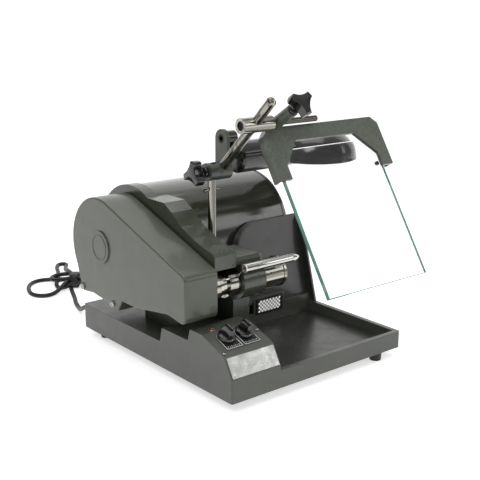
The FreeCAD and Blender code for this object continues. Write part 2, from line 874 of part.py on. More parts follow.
def make_belt():
    left = "(pulley_side + fit_gap)"
    width = "(pulley_width - 2 * pulley_side - 2 * fit_gap)"
    outer = belt_loop("belt_outside", "fit_gap + belt_thick", left, width)
    inner = belt_loop("belt_inside", "fit_gap", "0", "pulley_width")
    in_drive(cut("drive_belt", outer, [inner]), "pulley_left")


def make_guard():
    """A shell open to the right: a front end, a straight fold and an arc about the motor."""
    body = numbered("PartDesign::Body", "guard_body")
    top_front = "guard_arc_z + guard_arc / cos(guard_fold) - (guard_arc_y - guard_front) * tan(guard_fold)"
    side = outline(body, "guard_side", "YZ_Plane", [
        ("guard_front", "guard_low"), ("guard_front", top_front),
        ("guard_arc_y - guard_arc * sin(guard_fold)", "guard_arc_z + guard_arc * cos(guard_fold)"),
        ("guard_arc_y", "guard_arc_z"),
        ("guard_arc_y + guard_arc * cos(guard_heel_angle)",
         "guard_arc_z - guard_arc * sin(guard_heel_angle)"),
        ("guard_heel_y + guard_heel_out", "guard_heel_z + guard_heel_rise"), ("guard_heel_y",
            "guard_heel_z"),
        ("guard_lug_y + guard_lug_run", "guard_heel_z + guard_heel_slant"),
        ("guard_lug_y + guard_lug_half", "guard_lug_z + guard_lug_slant"),
        ("guard_lug_y", "guard_lug_z"), ("guard_lug_y - guard_lug_half", "guard_waist"),
        ("guard_lug_y - guard_waist_run", "guard_waist"),
        ("guard_front + guard_chin", "guard_low + guard_chin_rise")], "-guard_reach")
    pad(body, side, "guard_reach + guard_right")
    arc = circle(body, "guard_round_end", "YZ_Plane", "guard_arc_y", "guard_arc_z", "guard_arc",
                 "-guard_reach")
    outer = pad(body, arc, "guard_reach + guard_right")
    doc.recompute()

    def at_front(point):
        return abs(point.y - size("guard_front")) < 0.01

    corners = rounded(body, outer, edges_along(outer.Shape, X_AXIS, at_front), "guard_round")
    doc.recompute()
    open_faces = []
    for index, face in enumerate(corners.Shape.Faces, 1):
        if abs(face.CenterOfMass.x - size("guard_right")) < 0.01:
            open_faces.append(f"Face{index}")
    shell = body.newObject("PartDesign::Thickness", "guard_shell")
    shell.Base = (corners, open_faces)
    shell.Reversed = True
    shell.Join = 0
    bind(shell, "Value", "guard_wall")
    doc.recompute()
    rim = []
    for index, edge in enumerate(shell.Shape.Edges, 1):
        box_of_edge = edge.BoundBox
        if box_of_edge.XLength < 0.01 and abs(box_of_edge.XMin + size("guard_reach")) < 0.01:
            rim.append(f"Edge{index}")
    rounded(body, shell, rim, "guard_edge")
    boss = circle(body, "guard_boss", "YZ_Plane", "boss_y", "boss_z", "boss_radius",
                  "-guard_reach - boss_rise")
    pad(body, boss, "boss_rise + guard_wall / 2")
    holes = []
    for index, (y, z) in enumerate(STUDS):
        holes.append(rod(f"guard_hole_{index}", ("-2 * guard_reach", y, z), "x", "guard_stud",
                         "4 * guard_reach"))
    finish(cut("belt_guard", body, holes))


STUDS = [("guard_lug_y + stud_inset", "guard_lug_z + stud_rise"), ("guard_heel_y",
    "guard_heel_z + stud_rise")]


def make_guard_fixings():
    fixings = []
    for index, (y, z) in enumerate(STUDS):
        stud = rod(f"guard_stud_{index}", ("-guard_reach - guard_screw_rise / 2", y, z), "x", "guard_stud",
                   "arm_left + guard_reach + guard_screw_rise / 2")
        head = rod(f"guard_screw_{index}", ("-guard_reach - guard_screw_rise", y, z), "x",
                   "guard_screw_radius", "guard_screw_rise")
        fixings.append(fuse(f"guard_fixing_{index}", [stud, head]))
    finish(group("guard_fixings", fixings))


# Arm casting: motor flange, web, spindle housing, post boss and foot in one piece

# Run and rise of the points of the arm's upper edge, from its front end
ARM_BROW = [(4, 0), (24, 4), (46, 11), (71, 22), (92, 37), (110, 47)]


def make_arm():
    body = numbered("PartDesign::Body", "arm_body")
    brow = [(f"arm_front + {run}", f"arm_top + {rise}") for run, rise in ARM_BROW]
    disc = circle(body, "flange", "YZ_Plane", "motor_y", "motor_z", "arm_flange_radius", "arm_left")
    pad(body, disc, "arm_plate")
    web = outline(body, "web", "YZ_Plane", [
        ("arm_front", "arm_under"), ("arm_front", "arm_top - arm_round"), *brow,
        ("arm_foot_back", f"arm_top + {ARM_BROW[-1][1]}"), ("arm_foot_back", "deck_height"),
        ("arm_foot_front", "deck_height"), ("arm_foot_front", "console_ledge + arm_round"),
        ("arm_heel", "arm_under - arm_foot_thick")], "arm_left")
    pad(body, web, "arm_web")
    bridge = outline(body, "bridge", "YZ_Plane", [
        ("housing_front", "arm_under"), ("housing_front", "housing_top - arm_round"),
        ("housing_front + arm_round", "housing_top"), ("housing_back - 2 * arm_round", "housing_top"),
        ("housing_back", "housing_top - 2 * arm_round"), ("housing_back", "spindle_z - 14"),
        ("arm_heel", "spindle_z - 14"), ("arm_heel", "arm_under")], "arm_left + arm_web - 1")
    pad(body, bridge, "housing_left + 1 - arm_left - arm_web + 1")
    housing = circle(body, "housing", "YZ_Plane", "spindle_y", "spindle_z", "housing_radius",
                     "housing_left")
    pad(body, housing, "housing_right - housing_left")
    block = outline(body, "housing_block", "YZ_Plane", [
        ("housing_front", "spindle_z + 14"), ("housing_front", "housing_top - arm_round"),
        ("housing_front + arm_round", "housing_top"), ("housing_back - 2 * arm_round", "housing_top"),
        ("housing_back", "housing_top - 2 * arm_round"), ("housing_back", "spindle_z - 14"),
        ("spindle_y", "spindle_z - 14")], "housing_left")
    block_pad = pad(body, block, "housing_right - housing_left")
    doc.recompute()

    def at_right_end(point):
        high = point.z > size("spindle_z") + size("housing_radius") * 0.9
        return abs(point.x - size("housing_right")) < 0.01 and high

    names = []
    for index, edge in enumerate(block_pad.Shape.Edges, 1):
        if edge.BoundBox.XLength < 0.01 and at_right_end(edge.CenterOfMass):
            names.append(f"Edge{index}")
    rounded(body, block_pad, names, "housing_round")
    boss = circle(body, "post_boss", "XY_Plane", "post_x", "post_y", "post_radius + boss_wall",
                  "post_foot - boss_wall")
    pad(body, boss, "boss_top - post_foot + boss_wall")
    tie = outline(body, "boss_tie", "XY_Plane", [
        ("arm_left + arm_web - 1", "housing_back - 2 * boss_wall"),
        ("housing_right - 2 * boss_wall", "housing_back - 2 * boss_wall"), ("post_x + 2 * boss_wall",
            "post_y"),
        ("arm_left + arm_web - 1", "post_y")], "post_foot - boss_wall")
    pad(body, tie, "spindle_z + 8 - post_foot + boss_wall")
    strut = outline(body, "strut", "YZ_Plane", [
        ("leg_front", "spindle_z - 14"), ("leg_front", "leg_knee"),
        ("deck_front + fit_gap", "deck_height + arm_foot_thick"), ("deck_front + fit_gap", "deck_height"),
        ("arm_foot_front + 50", "deck_height"), ("arm_foot_front + 50", "deck_height + arm_foot_thick"),
        ("post_y + post_radius", "post_foot"), ("post_y", "spindle_z - 14")], "leg_left")
    pad(body, strut, "leg_width")
    foot = outline(body, "arm_foot", "XY_Plane", [
        ("arm_left", "arm_foot_front"), ("arm_foot_right", "arm_foot_front"),
        ("arm_foot_right", "arm_foot_back"), ("arm_left", "arm_foot_back")], "deck_height")
    pad(body, foot, "arm_foot_thick")
    bores = [
        rod("quill_seat", ("housing_left - 1", "spindle_y", "spindle_z"), "x", "quill_radius",
            "housing_right - housing_left + 2"),
        rod("shaft_way", ("arm_left - 1", "motor_y", "motor_z"), "x", "shaft_radius + 2", "arm_plate + 2"),
        rod("bearing_seat", ("motor_left - bearing_width - 2", "motor_y", "motor_z"), "x",
            "motor_bearing_radius + slip_gap", "bearing_width + 4"),
        rod("post_seat", ("post_x", "post_y", "post_foot"), "z", "post_radius + slip_gap", "clamp_z"),
        rod("motor_way", ("motor_left", "motor_y", "motor_z"), "x", "motor_radius", "arm_web"),
        rod("release_way", ("arm_left + 14", "spindle_y", "spindle_z"), "x", "lever_hub_radius + 6",
            "housing_left - arm_left - 14"),
    ]
    bores.append(box("console_way", ("0", "0", "0"), "console_width + fit_gap",
                     "ledge_end + ledge_slant + fit_gap", "console_ledge + fit_gap"))
    finish(cut("arm_casting", body, bores))
    bolts = []
    for index, y in enumerate(("arm_foot_front + 8", "arm_foot_back - 10")):
        bolts.append(rod(f"arm_bolt_{index}", ("arm_foot_right - 5", y, "deck_height + arm_foot_thick"),
                         "z", "motor_screw_radius", "motor_screw_head"))
    finish(group("arm_bolts", bolts))


# Spindle, quill and chuck

def in_spindle(item, x="0"):
    return finish(item, x, "spindle_y", "spindle_z")


def make_quill():
    bearing = "spindle_bearing_radius"
    in_spindle(turned("spindle_quill", [
        ("quill_left", bearing), ("quill_left", "collar_radius"), ("quill_left + collar_width",
            "collar_radius"),
        ("quill_left + collar_width", "collar_step"), ("quill_left + 1.5 * collar_width", "collar_step"),
        ("quill_left + 1.5 * collar_width", "quill_radius"), ("housing_right", "quill_radius"),
        ("housing_right", bearing), ("housing_right - bearing_width", bearing),
        ("housing_right - bearing_width", "spindle_radius + 2"),
        ("quill_left + bearing_width", "spindle_radius + 2"), ("quill_left + bearing_width", bearing)]))
    rings = []
    for label, left in (("near", "quill_left"), ("far", "housing_right - bearing_width")):
        rings.append(tube("spindle_bearing_" + label, (left, "0", "0"), "x", bearing,
                          "spindle_radius + slip_gap", "bearing_width"))
    in_spindle(group("spindle_bearings", rings))


def make_spindle():
    in_spindle(rod("spindle_shaft", ("0", "0", "0"), "x", "spindle_radius",
                   "chuck_left + collar_width - pulley_left"),
               "pulley_left")
    in_spindle(pulley("spindle_pulley", "spindle_pulley_radius", "spindle_radius"), "pulley_left")
    seat = "chuck_left + collar_width"
    in_spindle(turned("chuck_body", [
        ("chuck_left", "spindle_radius"), ("chuck_left", "chuck_radius - 1"),
        ("chuck_left + 1", "chuck_radius"), ("chuck_right", "chuck_radius"),
        ("chuck_right", "chuck_radius + 1"), ("chuck_right + 4", "chuck_radius + 1"),
        ("chuck_right + 6", "nose_radius"), ("nose_right", "collet_radius + 2"),
        ("nose_right", "collet_radius"), (seat, "collet_radius"), (seat, "spindle_radius")]))
    in_spindle(turned("collet", [
        (seat, "0"), (seat, "collet_radius"), ("collet_right - 2", "collet_radius"),
        ("collet_right", "collet_radius - 2"), ("collet_right", "bur_bore"),
        ("collet_right - bur_depth", "bur_bore"), ("collet_right - bur_depth", "0")]))


def in_lever(item):
    """Place a piece drawn about the spindle, the crank along its front."""
    return finish(item, "0", "spindle_y", "spindle_z", "-lever_angle")


def make_lever():
    hub = tube("hub_ring", ("lever_left", "0", "0"), "x", "lever_hub_radius", "quill_radius + slip_gap",
               "lever_width")
    way = rod("hub_way", ("lever_plane", "-quill_radius", "0"), "-y", "lever_rod_radius",
              "lever_hub_radius")
    in_lever(cut("release_collar", hub, [way]))
    start = "(quill_radius + 1)"
    crank = rod("crank", ("lever_plane", f"-{start}", "0"), "-y", "lever_rod_radius",
                f"lever_arm - {start} - handle_bore")
    in_lever(group("lever_rod", [crank]))
    handle = turned("handle_tube", [
        ("handle_left", "handle_bore"), ("handle_left", "handle_radius"),
        ("handle_left + handle_length - 3", "handle_radius"), ("handle_left + handle_length",
            "handle_bore"),
        ("handle_left + handle_length", "0"), ("handle_left + handle_tip", "0"),
        ("handle_left + handle_tip", "handle_bore")])
    bind(handle, "Placement.Base.y", "-lever_arm")
    bevel_body = numbered("PartDesign::Body", "handle_bevel")
    bevel = outline(bevel_body, "handle_bevel_side", "XZ_Plane", [
        ("handle_left + handle_length - handle_tip", "-handle_radius - 1"),
        ("handle_left + handle_length + 1", "-handle_radius - 1"),
        ("handle_left + handle_length + 1", "handle_radius - 1")], "lever_arm - 2 * handle_radius")
    pad(bevel_body, bevel, "4 * handle_radius")
    hole = rod("handle_cross_hole", ("lever_plane", "-lever_arm", "0"), "y", "lever_rod_radius",
               "2 * handle_radius")
    in_lever(cut("lever_handle", handle, [bevel_body, hole]))


# Console fittings

def on_panel(item, x, along, rise="0"):
    """Place a piece drawn along z on the sloping panel, a distance down it from its top edge."""
    y = f"panel_head - {along} * cos({PANEL_ANGLE}) - ({rise}) * sin({PANEL_ANGLE})"
    z = f"console_height - {along} * sin({PANEL_ANGLE}) + ({rise}) * cos({PANEL_ANGLE})"
    return finish(item, x, y, z, PANEL_ANGLE)


def make_console_fittings():
    plates = []
    for index in range(2):
        middle = f"(knob_left + {index} * knob_pitch)"
        disc = rod(f"legend_disc_{index}", (middle, "0", "0"), "z", "legend_half", "legend_thick")
        tail = box(f"legend_tail_{index}", (f"{middle} - legend_half", "-legend_tail", "0"),
                   "2 * legend_half",
                   "legend_tail", "legend_thick")
        blank = fuse(f"legend_blank_{index}", [disc, tail])
        hole = rod(f"legend_hole_{index}", (middle, "0", "-1"), "z", "switch_shaft + fit_gap",
                   "3 * legend_thick")
        plates.append(cut(f"legend_{index}", blank, [hole]))
    on_panel(group("legend_plates", plates), "0", "knob_along")
    pairs = (("power_knob", "power_switch"), ("speed_knob", "speed_control"))
    for index, (knob, switch) in enumerate(pairs):
        middle = f"knob_left + {index} * knob_pitch"
        low = "legend_thick + fit_gap"
        skirt = cone(knob + "_skirt", ("0", "0", low), "z", "knob_radius", "knob_radius - 1.5",
                     "knob_skirt")
        fin = box(knob + "_fin", ("-knob_fin / 2", "1 - knob_radius", low), "knob_fin",
                  "2 * knob_radius - 2", "knob_height")
        shaft = rod(knob + "_shaft", ("0", "0", "-switch_reach"), "z", "switch_shaft",
                    "switch_reach + knob_skirt")
        on_panel(fuse(knob, [skirt, fin, shaft]), middle, "knob_along")
        block = box(switch + "_block", ("-switch_size / 2", "-switch_size / 2", "0"), "switch_size",
                    "switch_size", "switch_depth")
        hole = rod(switch + "_hole", ("0", "0", "0"), "z", "switch_shaft + fit_gap", "2 * switch_depth")
        on_panel(cut(switch, block, [hole]), middle, "knob_along",
                 f"-switch_depth - base_wall * cos({PANEL_ANGLE})")
    plate = box("blank_plate", ("0", "0", "0"), "console_width - 2 * plate_margin",
                f"sqrt((console_ledge - front_height)^2 + panel_foot^2) - 2 * plate_margin", "plate_thick")
    finish(plate, "plate_margin", f"plate_margin * cos({PLATE_ANGLE})",
           f"front_height + plate_margin * sin({PLATE_ANGLE})", PLATE_ANGLE)
    finish(cone("pilot_lamp", ("0", "0", "0"), "z", "pilot_radius", "pilot_radius - 1", "pilot_radius"),
           "pilot_x", "pilot_y", "console_height")
    screws = [
        rod("panel_screw_right", ("console_width - pilot_radius - 1", "0", "0"), "z", "panel_screw_radius",
            "1"),
        rod("panel_screw_left", ("pilot_radius + 1", "-legend_tail - 4", "0"), "z", "panel_screw_radius",
            "1"),
    ]
    on_panel(group("panel_screws", screws), "0", "knob_along")


# Shield: post, clamps, tilting rod, sleeve, frame and glass

def star_knob(label, first_lobe):
    """A black three-lobed knob along z: stud below zero, neck, the lobes and a low domed front."""
    disc = rod(label + "_disc", ("0", "0", "knob_neck"), "z", "knob_reach", "star_thick")
    scallops = []
    for index in range(3):
        angle = f"({first_lobe} + {index} * 120 + 60)"
        at = (f"scallop_offset * cos({angle})", f"scallop_offset * sin({angle})", "knob_neck - 1")
        scallops.append(rod(f"{label}_scallop_{index}", at, "z", "scallop_radius", "star_thick + 2"))
    star = cut(label + "_star", disc, scallops)
    neck = cone(label + "_neck", ("0", "0", "fit_gap"), "z", "knob_core", "knob_core + 1", "knob_neck")
    dome = cone(label + "_dome", ("0", "0", "knob_neck + star_thick - 1"), "z", "knob_core",
                "knob_core / 2", "star_dome + 1")
    stud = rod(label + "_stud", ("0", "0", "-knob_stud"), "z", "stud_radius", "knob_stud + knob_neck")
    return fuse(label, [star, neck, dome, stud])


def make_post():
    post = rod("post_bar", ("0", "0", "0"), "z", "post_radius",
               "clamp_z + clamp_radius / 2 - post_foot - fit_gap")
    hole = rod("post_hole", ("-cross_pin_half", "0", "pin_height - post_foot - fit_gap"), "x",
               "cross_pin_radius",
               "2 * cross_pin_half")
    finish(cut("shield_post", post, [hole]), "post_x", "post_y", "post_foot + fit_gap")
    finish(turned("post_pin", [
        ("-cross_pin_half - cross_ball", "0"), ("-cross_pin_half - cross_ball", "cross_ball / 2"),
        ("-cross_pin_half - cross_ball / 2", "cross_ball"), ("-cross_pin_half + cross_ball / 2",
            "cross_ball"),
        ("-cross_pin_half + cross_ball", "cross_pin_radius"), ("cross_pin_half", "cross_pin_radius"),
        ("cross_pin_half", "0")]), "post_x", "post_y", "pin_height")


def make_lower_clamp():
    barrel = rod("clamp_barrel", ("clamp_left", "0", "0"), "x", "clamp_radius", "clamp_split - clamp_left")
    spigot = rod("clamp_spigot", ("clamp_split - 1", "0", "0"), "x", "hub_spigot", "rod_radius + 4")
    back = box("clamp_pad", ("clamp_left", "0", "-bracket_foot_high / 2"), "clamp_split - clamp_left",
               "clamp_radius + fit_gap", "bracket_foot_high")
    whole = fuse("clamp_blank", [barrel, spigot, back])
    post_way = rod("clamp_post_way", ("post_x", "0", "-2 * clamp_radius"), "z", "post_radius + slip_gap",
                   "4 * clamp_radius")
    stud_way = rod("clamp_stud_way", ("clamp_left - 1", "0", "0"), "x", "stud_radius + slip_gap",
                   "knob_stud + 2")
    finish(cut("lower_clamp", whole, [post_way, stud_way]), "0", "post_y", "clamp_z")
    finish(star_knob("lower_knob", "lower_lobe_turn"), "clamp_left", "post_y", "clamp_z", "-90", Y_AXIS)


def make_tilt_rod():
    left = "(clamp_split + fit_gap)"
    barrel = rod("hub_barrel", (left, "0", "0"), "x", "clamp_radius", f"clamp_right - {left}")
    spigot_way = rod("hub_spigot_way", (left, "0", "0"), "x", "hub_spigot + slip_gap", "rod_radius + 5")
    rod_way = rod("hub_rod_way", ("rod_x", "0", "rod_start"), "z", "rod_radius", "2 * clamp_radius")
    in_rod_frame(cut("rod_hub", barrel, [spigot_way, rod_way]))
    tilting = turned("tilt_rod", [
        ("rod_start", "0"), ("rod_start", "rod_radius"), ("rod_length - 4", "rod_radius"),
        ("rod_length - 1.5", "rod_radius - 1.5"), ("rod_length", "rod_radius - 4"), ("rod_length - 1",
            "0")],
        upright=True)
    finish(tilting, "rod_x", "post_y", "clamp_z", "rod_lean")


def make_sleeve():
    barrel = rod("sleeve_barrel", ("sleeve_left", "0", "0"), "x", "sleeve_radius",
                 "sleeve_right - sleeve_left")
    rod_way = rod("sleeve_rod_way", ("rod_x", "0", "-2 * sleeve_radius"), "z", "rod_radius + slip_gap",
                  "4 * sleeve_radius")
    key = rod("sleeve_key", ("sleeve_left - 1", "0", "0"), "x", "socket_radius", "socket_depth + 1")
    bar_way = rod("sleeve_bar_way", ("pivot_left", "0", "0"), "x", "pivot_radius", "sleeve_right")
    in_sleeve_frame(cut("upper_sleeve", barrel, [rod_way, key, bar_way]))
    finish(rod("pivot_bar", ("0", "0", "0"), "x", "pivot_radius", "pivot_right - pivot_left"),
           "pivot_left", PIN_Y, PIN_Z)


def make_shield():
    body = numbered("PartDesign::Body", "frame_body")
    left = "frame_left"
    right = "(frame_left + frame_width)"
    bar_low = "(-frame_top - bar_height)"
    plate = outline(body, "frame_outline", "XZ_Plane", [
        (left, "-leg_end"), (left, "-frame_top - frame_chamfer"), (f"{left} + frame_chamfer", "-frame_top"),
        (f"{right} - frame_chamfer", "-frame_top"), (right, "-frame_top - frame_chamfer"), (right,
            "-leg_end"),
        (f"{right} - leg_foot", "-leg_end"), (f"{right} - leg_foot", "-gusset_drop"),
        (f"{right} - leg_foot - gusset_right", bar_low), (f"{left} + leg_foot + gusset_left", bar_low),
        (f"{left} + leg_foot", "-gusset_drop"), (f"{left} + leg_foot", "-leg_end")], "-frame_back")
    pad(body, plate, "frame_back - frame_front")
    inner_top = "(-frame_top - frame_rim)"
    slope = "frame_chamfer * 0.6"
    trough = outline(body, "frame_trough", "XZ_Plane", [
        (f"{left} + frame_rim", "-leg_end - 1"), (f"{left} + frame_rim", f"{inner_top} - {slope}"),
        (f"{left} + frame_rim + {slope}", inner_top), (f"{right} - frame_rim - {slope}", inner_top),
        (f"{right} - frame_rim", f"{inner_top} - {slope}"), (f"{right} - frame_rim", "-leg_end - 1")],
        "-frame_back - 1")
    pocket(body, trough, "frame_back - frame_front - frame_plate + 1", True)
    barrel = rod("frame_barrel", ("barrel_x", "frame_front", "0"), "-y", "barrel_radius",
                 "frame_front + barrel_reach")
    whole = fuse("frame_blank", [body, barrel])
    bar_way = rod("frame_bar_way", ("frame_left", "0", "0"), "x", "pivot_radius + slip_gap", "frame_width")
    stud_way = rod("frame_stud_way", ("barrel_x", "-barrel_reach - 1", "0"), "y", "stud_radius + slip_gap",
                   "knob_stud + 2")
    sleeve_way = rod("frame_sleeve_way", ("sleeve_left", "0", "0"), "x", "sleeve_radius + fit_gap",
                     "sleeve_right + fit_gap - sleeve_left")
    in_shield_frame(cut("shield_frame", whole, [bar_way, stud_way, sleeve_way]))
    glass = box("shield_glass", ("0", "0", "0"), GLASS_WIDTH, "glass_thick", "glass_low - glass_high")
    depth = "(frame_front + frame_plate)"
    finish(glass, "frame_left + glass_side",
           f"{PIN_Y} + {depth} * cos(shield_tilt) - glass_low * sin(shield_tilt)",
           f"{PIN_Z} - {depth} * sin(shield_tilt) - glass_low * cos(shield_tilt)", "-shield_tilt")
    screws = []
    inset = "glass_side + glass_screw_inset"
    for index, x in enumerate((inset, f"glass_side + {GLASS_WIDTH} - glass_screw_inset")):
        at = (f"frame_left + {x}", f"{depth} + glass_thick", "glass_screw_inset - leg_end")
        screws.append(rod(f"glass_screw_{index}", at, "y", "glass_screw_radius", "glass_screw_radius"))
    in_shield_frame(group("glass_screws", screws))
    finish(star_knob("upper_knob", "upper_lobe_turn"), "barrel_x",
           f"{PIN_Y} - barrel_reach * cos(shield_tilt)",
           f"{PIN_Z} + barrel_reach * sin(shield_tilt)", "90 - shield_tilt")


# Lamp

SHADE_STEPS = 8


def shade_curve(wall):
    """The bowl's half outline from its rim to its crown, drawn in by a wall."""
    points = [("0", f"shade_radius - {wall}")]
    for step in range(1, SHADE_STEPS):
        angle = f"(90 * {step} / {SHADE_STEPS})"
        points.append((f"(shade_height - {wall}) * sin({angle})^shade_square",
                       f"(shade_radius - {wall}) * cos({angle})^shade_square"))
    return points + [(f"shade_height - {wall}", "0")]


def make_lamp():
    plate = box("bracket_plate", ("bracket_x", "lamp_y - bracket_half", "bracket_low"), "bracket_thick",
                "2 * bracket_half", "lamp_z - bracket_low")
    eye = rod("bracket_eye", ("bracket_x", "lamp_y", "lamp_z"), "x", "bracket_half", "bracket_thick")
    foot = box("bracket_foot", ("bracket_foot_left", "post_y + clamp_radius + fit_gap",
                                "clamp_z - bracket_foot_high / 2"),
               "bracket_x - bracket_foot_left + 1", "bracket_foot_thick", "bracket_foot_high")
    hole = rod("bracket_hole", ("bracket_x - 1", "lamp_y", "lamp_z"), "x", "lamp_bolt_radius",
               "bracket_thick + 2")
    finish(cut("lamp_bracket", fuse("bracket_blank", [plate, eye, foot]), [hole]))
    finish(rod("lamp_bolt", ("0", "0", "0"), "x", "lamp_bolt_radius", "bracket_thick - 1 + lamp_barrel"),
           "bracket_x + 1", "lamp_y", "lamp_z")
    left = "(bracket_x + bracket_thick + fit_gap)"
    barrel = rod("neck_barrel", ("0", "0", "0"), "x", "lamp_barrel_radius", "lamp_barrel")
    web = box("neck_web", ("lamp_barrel / 2", "-lamp_barrel_radius", "-socket_drop"), "lamp_barrel / 2",
              "2 * lamp_barrel_radius", "socket_drop")
    way = rod("neck_way", ("-1", "0", "0"), "x", "lamp_bolt_radius + slip_gap", "lamp_barrel + 2")
    finish(cut("lamp_neck", fuse("neck_blank", [barrel, web]), [way]), left, "lamp_y", "lamp_z")
    start = f"({left} + lamp_barrel)"
    finish(turned("lamp_socket", [
        ("0", "0"), ("0", "lamp_socket_radius - 5"), ("1.5", "lamp_socket_radius - 1.5"), ("5",
            "lamp_socket_radius"),
        ("socket_length", "lamp_socket_radius"), ("socket_length", "bulb_neck"),
        ("socket_length - 12", "bulb_neck"), ("socket_length - 12", "0")]),
        start, "lamp_y", "lamp_z - socket_drop")
    shade = turned("shade_bowl", shade_curve("0") + shade_curve("shade_wall")[::-1], upright=True)
    socket_way = rod("shade_socket_way", (f"{start} - shade_x", "0", "lamp_z - socket_drop - shade_rim_z"),
                     "x",
                     "lamp_socket_radius", "socket_length")
    finish(cut("lamp_shade", shade, [socket_way]), "shade_x", "lamp_y", "shade_rim_z")
    finish(turned("lamp_bulb", [
        ("-12", "0"), ("-12", "bulb_neck"), ("3", "bulb_neck"), ("14", "bulb_radius - 1"), ("22",
            "bulb_radius"),
        ("34", "bulb_radius - 3"), ("40", "bulb_radius - 9"), ("41", "0")]),
        f"{start} + socket_length", "lamp_y", "lamp_z - socket_drop")


# Mains lead: gland, free lead, tied hank and plug

LEAD = [
    (30, 372, 14), (30, 387, 13), (33, 404, 8), (37, 421, 0), (43, 439, -8), (50, 458, -10.4),
    (57, 479, -10.4), (67, 499, -10.4), (75, 519, -10.4), (83, 538, -10.4), (91, 556, -10.4)]


def lead_wire(points):
    """Straight runs joined by tangent arcs, each as large as its two runs allow."""
    edges = []
    radii = []
    start = points[0]
    for before, corner, after in zip(points, points[1:], points[2:]):
        back = before - corner
        ahead = after - corner
        turn = math.pi - back.getAngle(ahead)
        reach = 0.45 * min(back.Length, ahead.Length)
        radius = reach / math.tan(turn / 2)
        radii.append(radius)
        arc_start = corner + back.normalize() * reach
        arc_end = corner + ahead.normalize() * reach
        inward = (back + ahead).normalize()
        middle = corner + inward * (radius / math.cos(turn / 2) - radius)
        edges.append(Part.LineSegment(start, arc_start).toShape())
        edges.append(Part.Arc(arc_start, middle, arc_end).toShape())
        start = arc_end
    edges.append(Part.LineSegment(start, points[-1]).toShape())
    return Part.Wire(edges), radii


def make_lead():
    gland = turned("cord_gland", [
        ("-base_wall", "cord_radius"), ("-base_wall", "gland_neck"), ("0", "gland_neck"), ("0",
            "gland_radius"),
        ("4", "gland_radius"), ("6", "gland_neck"), ("gland_tail", "cord_radius + 1.2"),
        ("gland_tail", "cord_radius")])
    finish(gland, "gland_x", "base_depth", "gland_z", "90", Z_AXIS)
    points = [FreeCAD.Vector(*point) for point in LEAD]
    wire, radii = lead_wire(points)
    section = Part.Wire(Part.makeCircle(size("cord_radius"), points[0], points[1] - points[0]))
    tube_shape = wire.makePipeShell([section], True, True)
    print("lead length", round(wire.Length, 1), "radii", [round(radius) for radius in radii])
    print("lead volume", round(tube_shape.Volume), "expected",
          round(math.pi * size("cord_radius") ** 2 * wire.Length))
    lead = numbered("Part::Feature", "cord_lead")
    lead.Shape = tube_shape
    finish(lead)


# Round loops of the hank: place along and behind, outer radius, height above the table
HANK_LOOPS = {
    "wide_loop": ("-37", "6", "45", "2 * cord_radius"),
    "near_loop": ("-24", "38", "25", "bundle_height / 1.5"),
    "back_loop": ("24", "38", "40", "2 * cord_radius"),
}


def strand(label, x, y, turn, length, half, height):
    """A straight run on the table from one point, turned about the vertical."""
    item = box(label, ("0", "0", "0"), length, f"2 * {half}", height)
    item.Placement = FreeCAD.Placement(FreeCAD.Vector(), FreeCAD.Rotation(Z_AXIS, 1))
    bind(item, "Placement.Rotation.Angle", turn)
    bind(item, "Placement.Base.x", f"{x} + {half} * sin({turn})")
    bind(item, "Placement.Base.y", f"{y} - {half} * cos({turn})")
    return item


def make_hank():
    """The tied length as one closed solid: bundle, loops, a long tongue, a fold and the tail."""
    cord = "(2 * cord_radius)"
    pieces = [box("hank_bundle", ("bundle_start", "bundle_front", "0"), "bundle_length", "bundle_width",
                  "bundle_height")]
    for label, (x, y, radius, height) in HANK_LOOPS.items():
        pieces.append(tube(label, (x, y, "0"), "z", radius, f"{radius} - {cord}", height))
    outer = strand("tongue_outer", "tongue_x", "tongue_y", "tongue_turn", "tongue_length", "tongue_half",
                   cord)
    inner = strand("tongue_inner", "tongue_x", "tongue_y", "tongue_turn", "tongue_length",
                   f"(tongue_half - {cord})", "bundle_height")
    pieces.append(cut("tongue", outer, [inner]))
    pieces.append(tube("tongue_fold", ("tongue_x + tongue_length * cos(tongue_turn)",
                                       "tongue_y + tongue_length * sin(tongue_turn)", "0"), "z",
                       "tongue_half", f"tongue_half - {cord}", cord))
    pieces.append(tube("right_fold", ("fold_x", "fold_y", "0"), "z", "fold_radius", f"fold_radius - {cord}",
                       "fold_height"))
    start = "bundle_start + bundle_length - cord_radius"
    reach = f"(fold_x - ({start}))"
    spread = "(fold_radius - bundle_width / 2)"
    for label, side in (("fold_back", "1"), ("fold_front", "-1")):
        turn = f"({side} * atan({spread} / {reach}))"
        middle = f"fold_y + {side} * (bundle_width / 2 - cord_radius)"
        pieces.append(strand(label, start, middle, turn, f"sqrt({reach}^2 + {spread}^2)", "cord_radius",
                             "fold_height"))
    pieces.append(strand("tail_flat", "tail_x", "tail_y", "tail_turn", "tail_length", "cord_radius", cord))
    rise = "(tail_length - tail_rise)"
    pieces.append(strand("tail_rising", f"tail_x + {rise} * cos(tail_turn)",
                         f"tail_y + {rise} * sin(tail_turn)",
                         "tail_turn", "tail_rise", "cord_radius", "tail_top"))
    finish(fuse("cord_hank", pieces), "hank_x", "hank_y", "-foot_height", "-hank_turn", Z_AXIS)


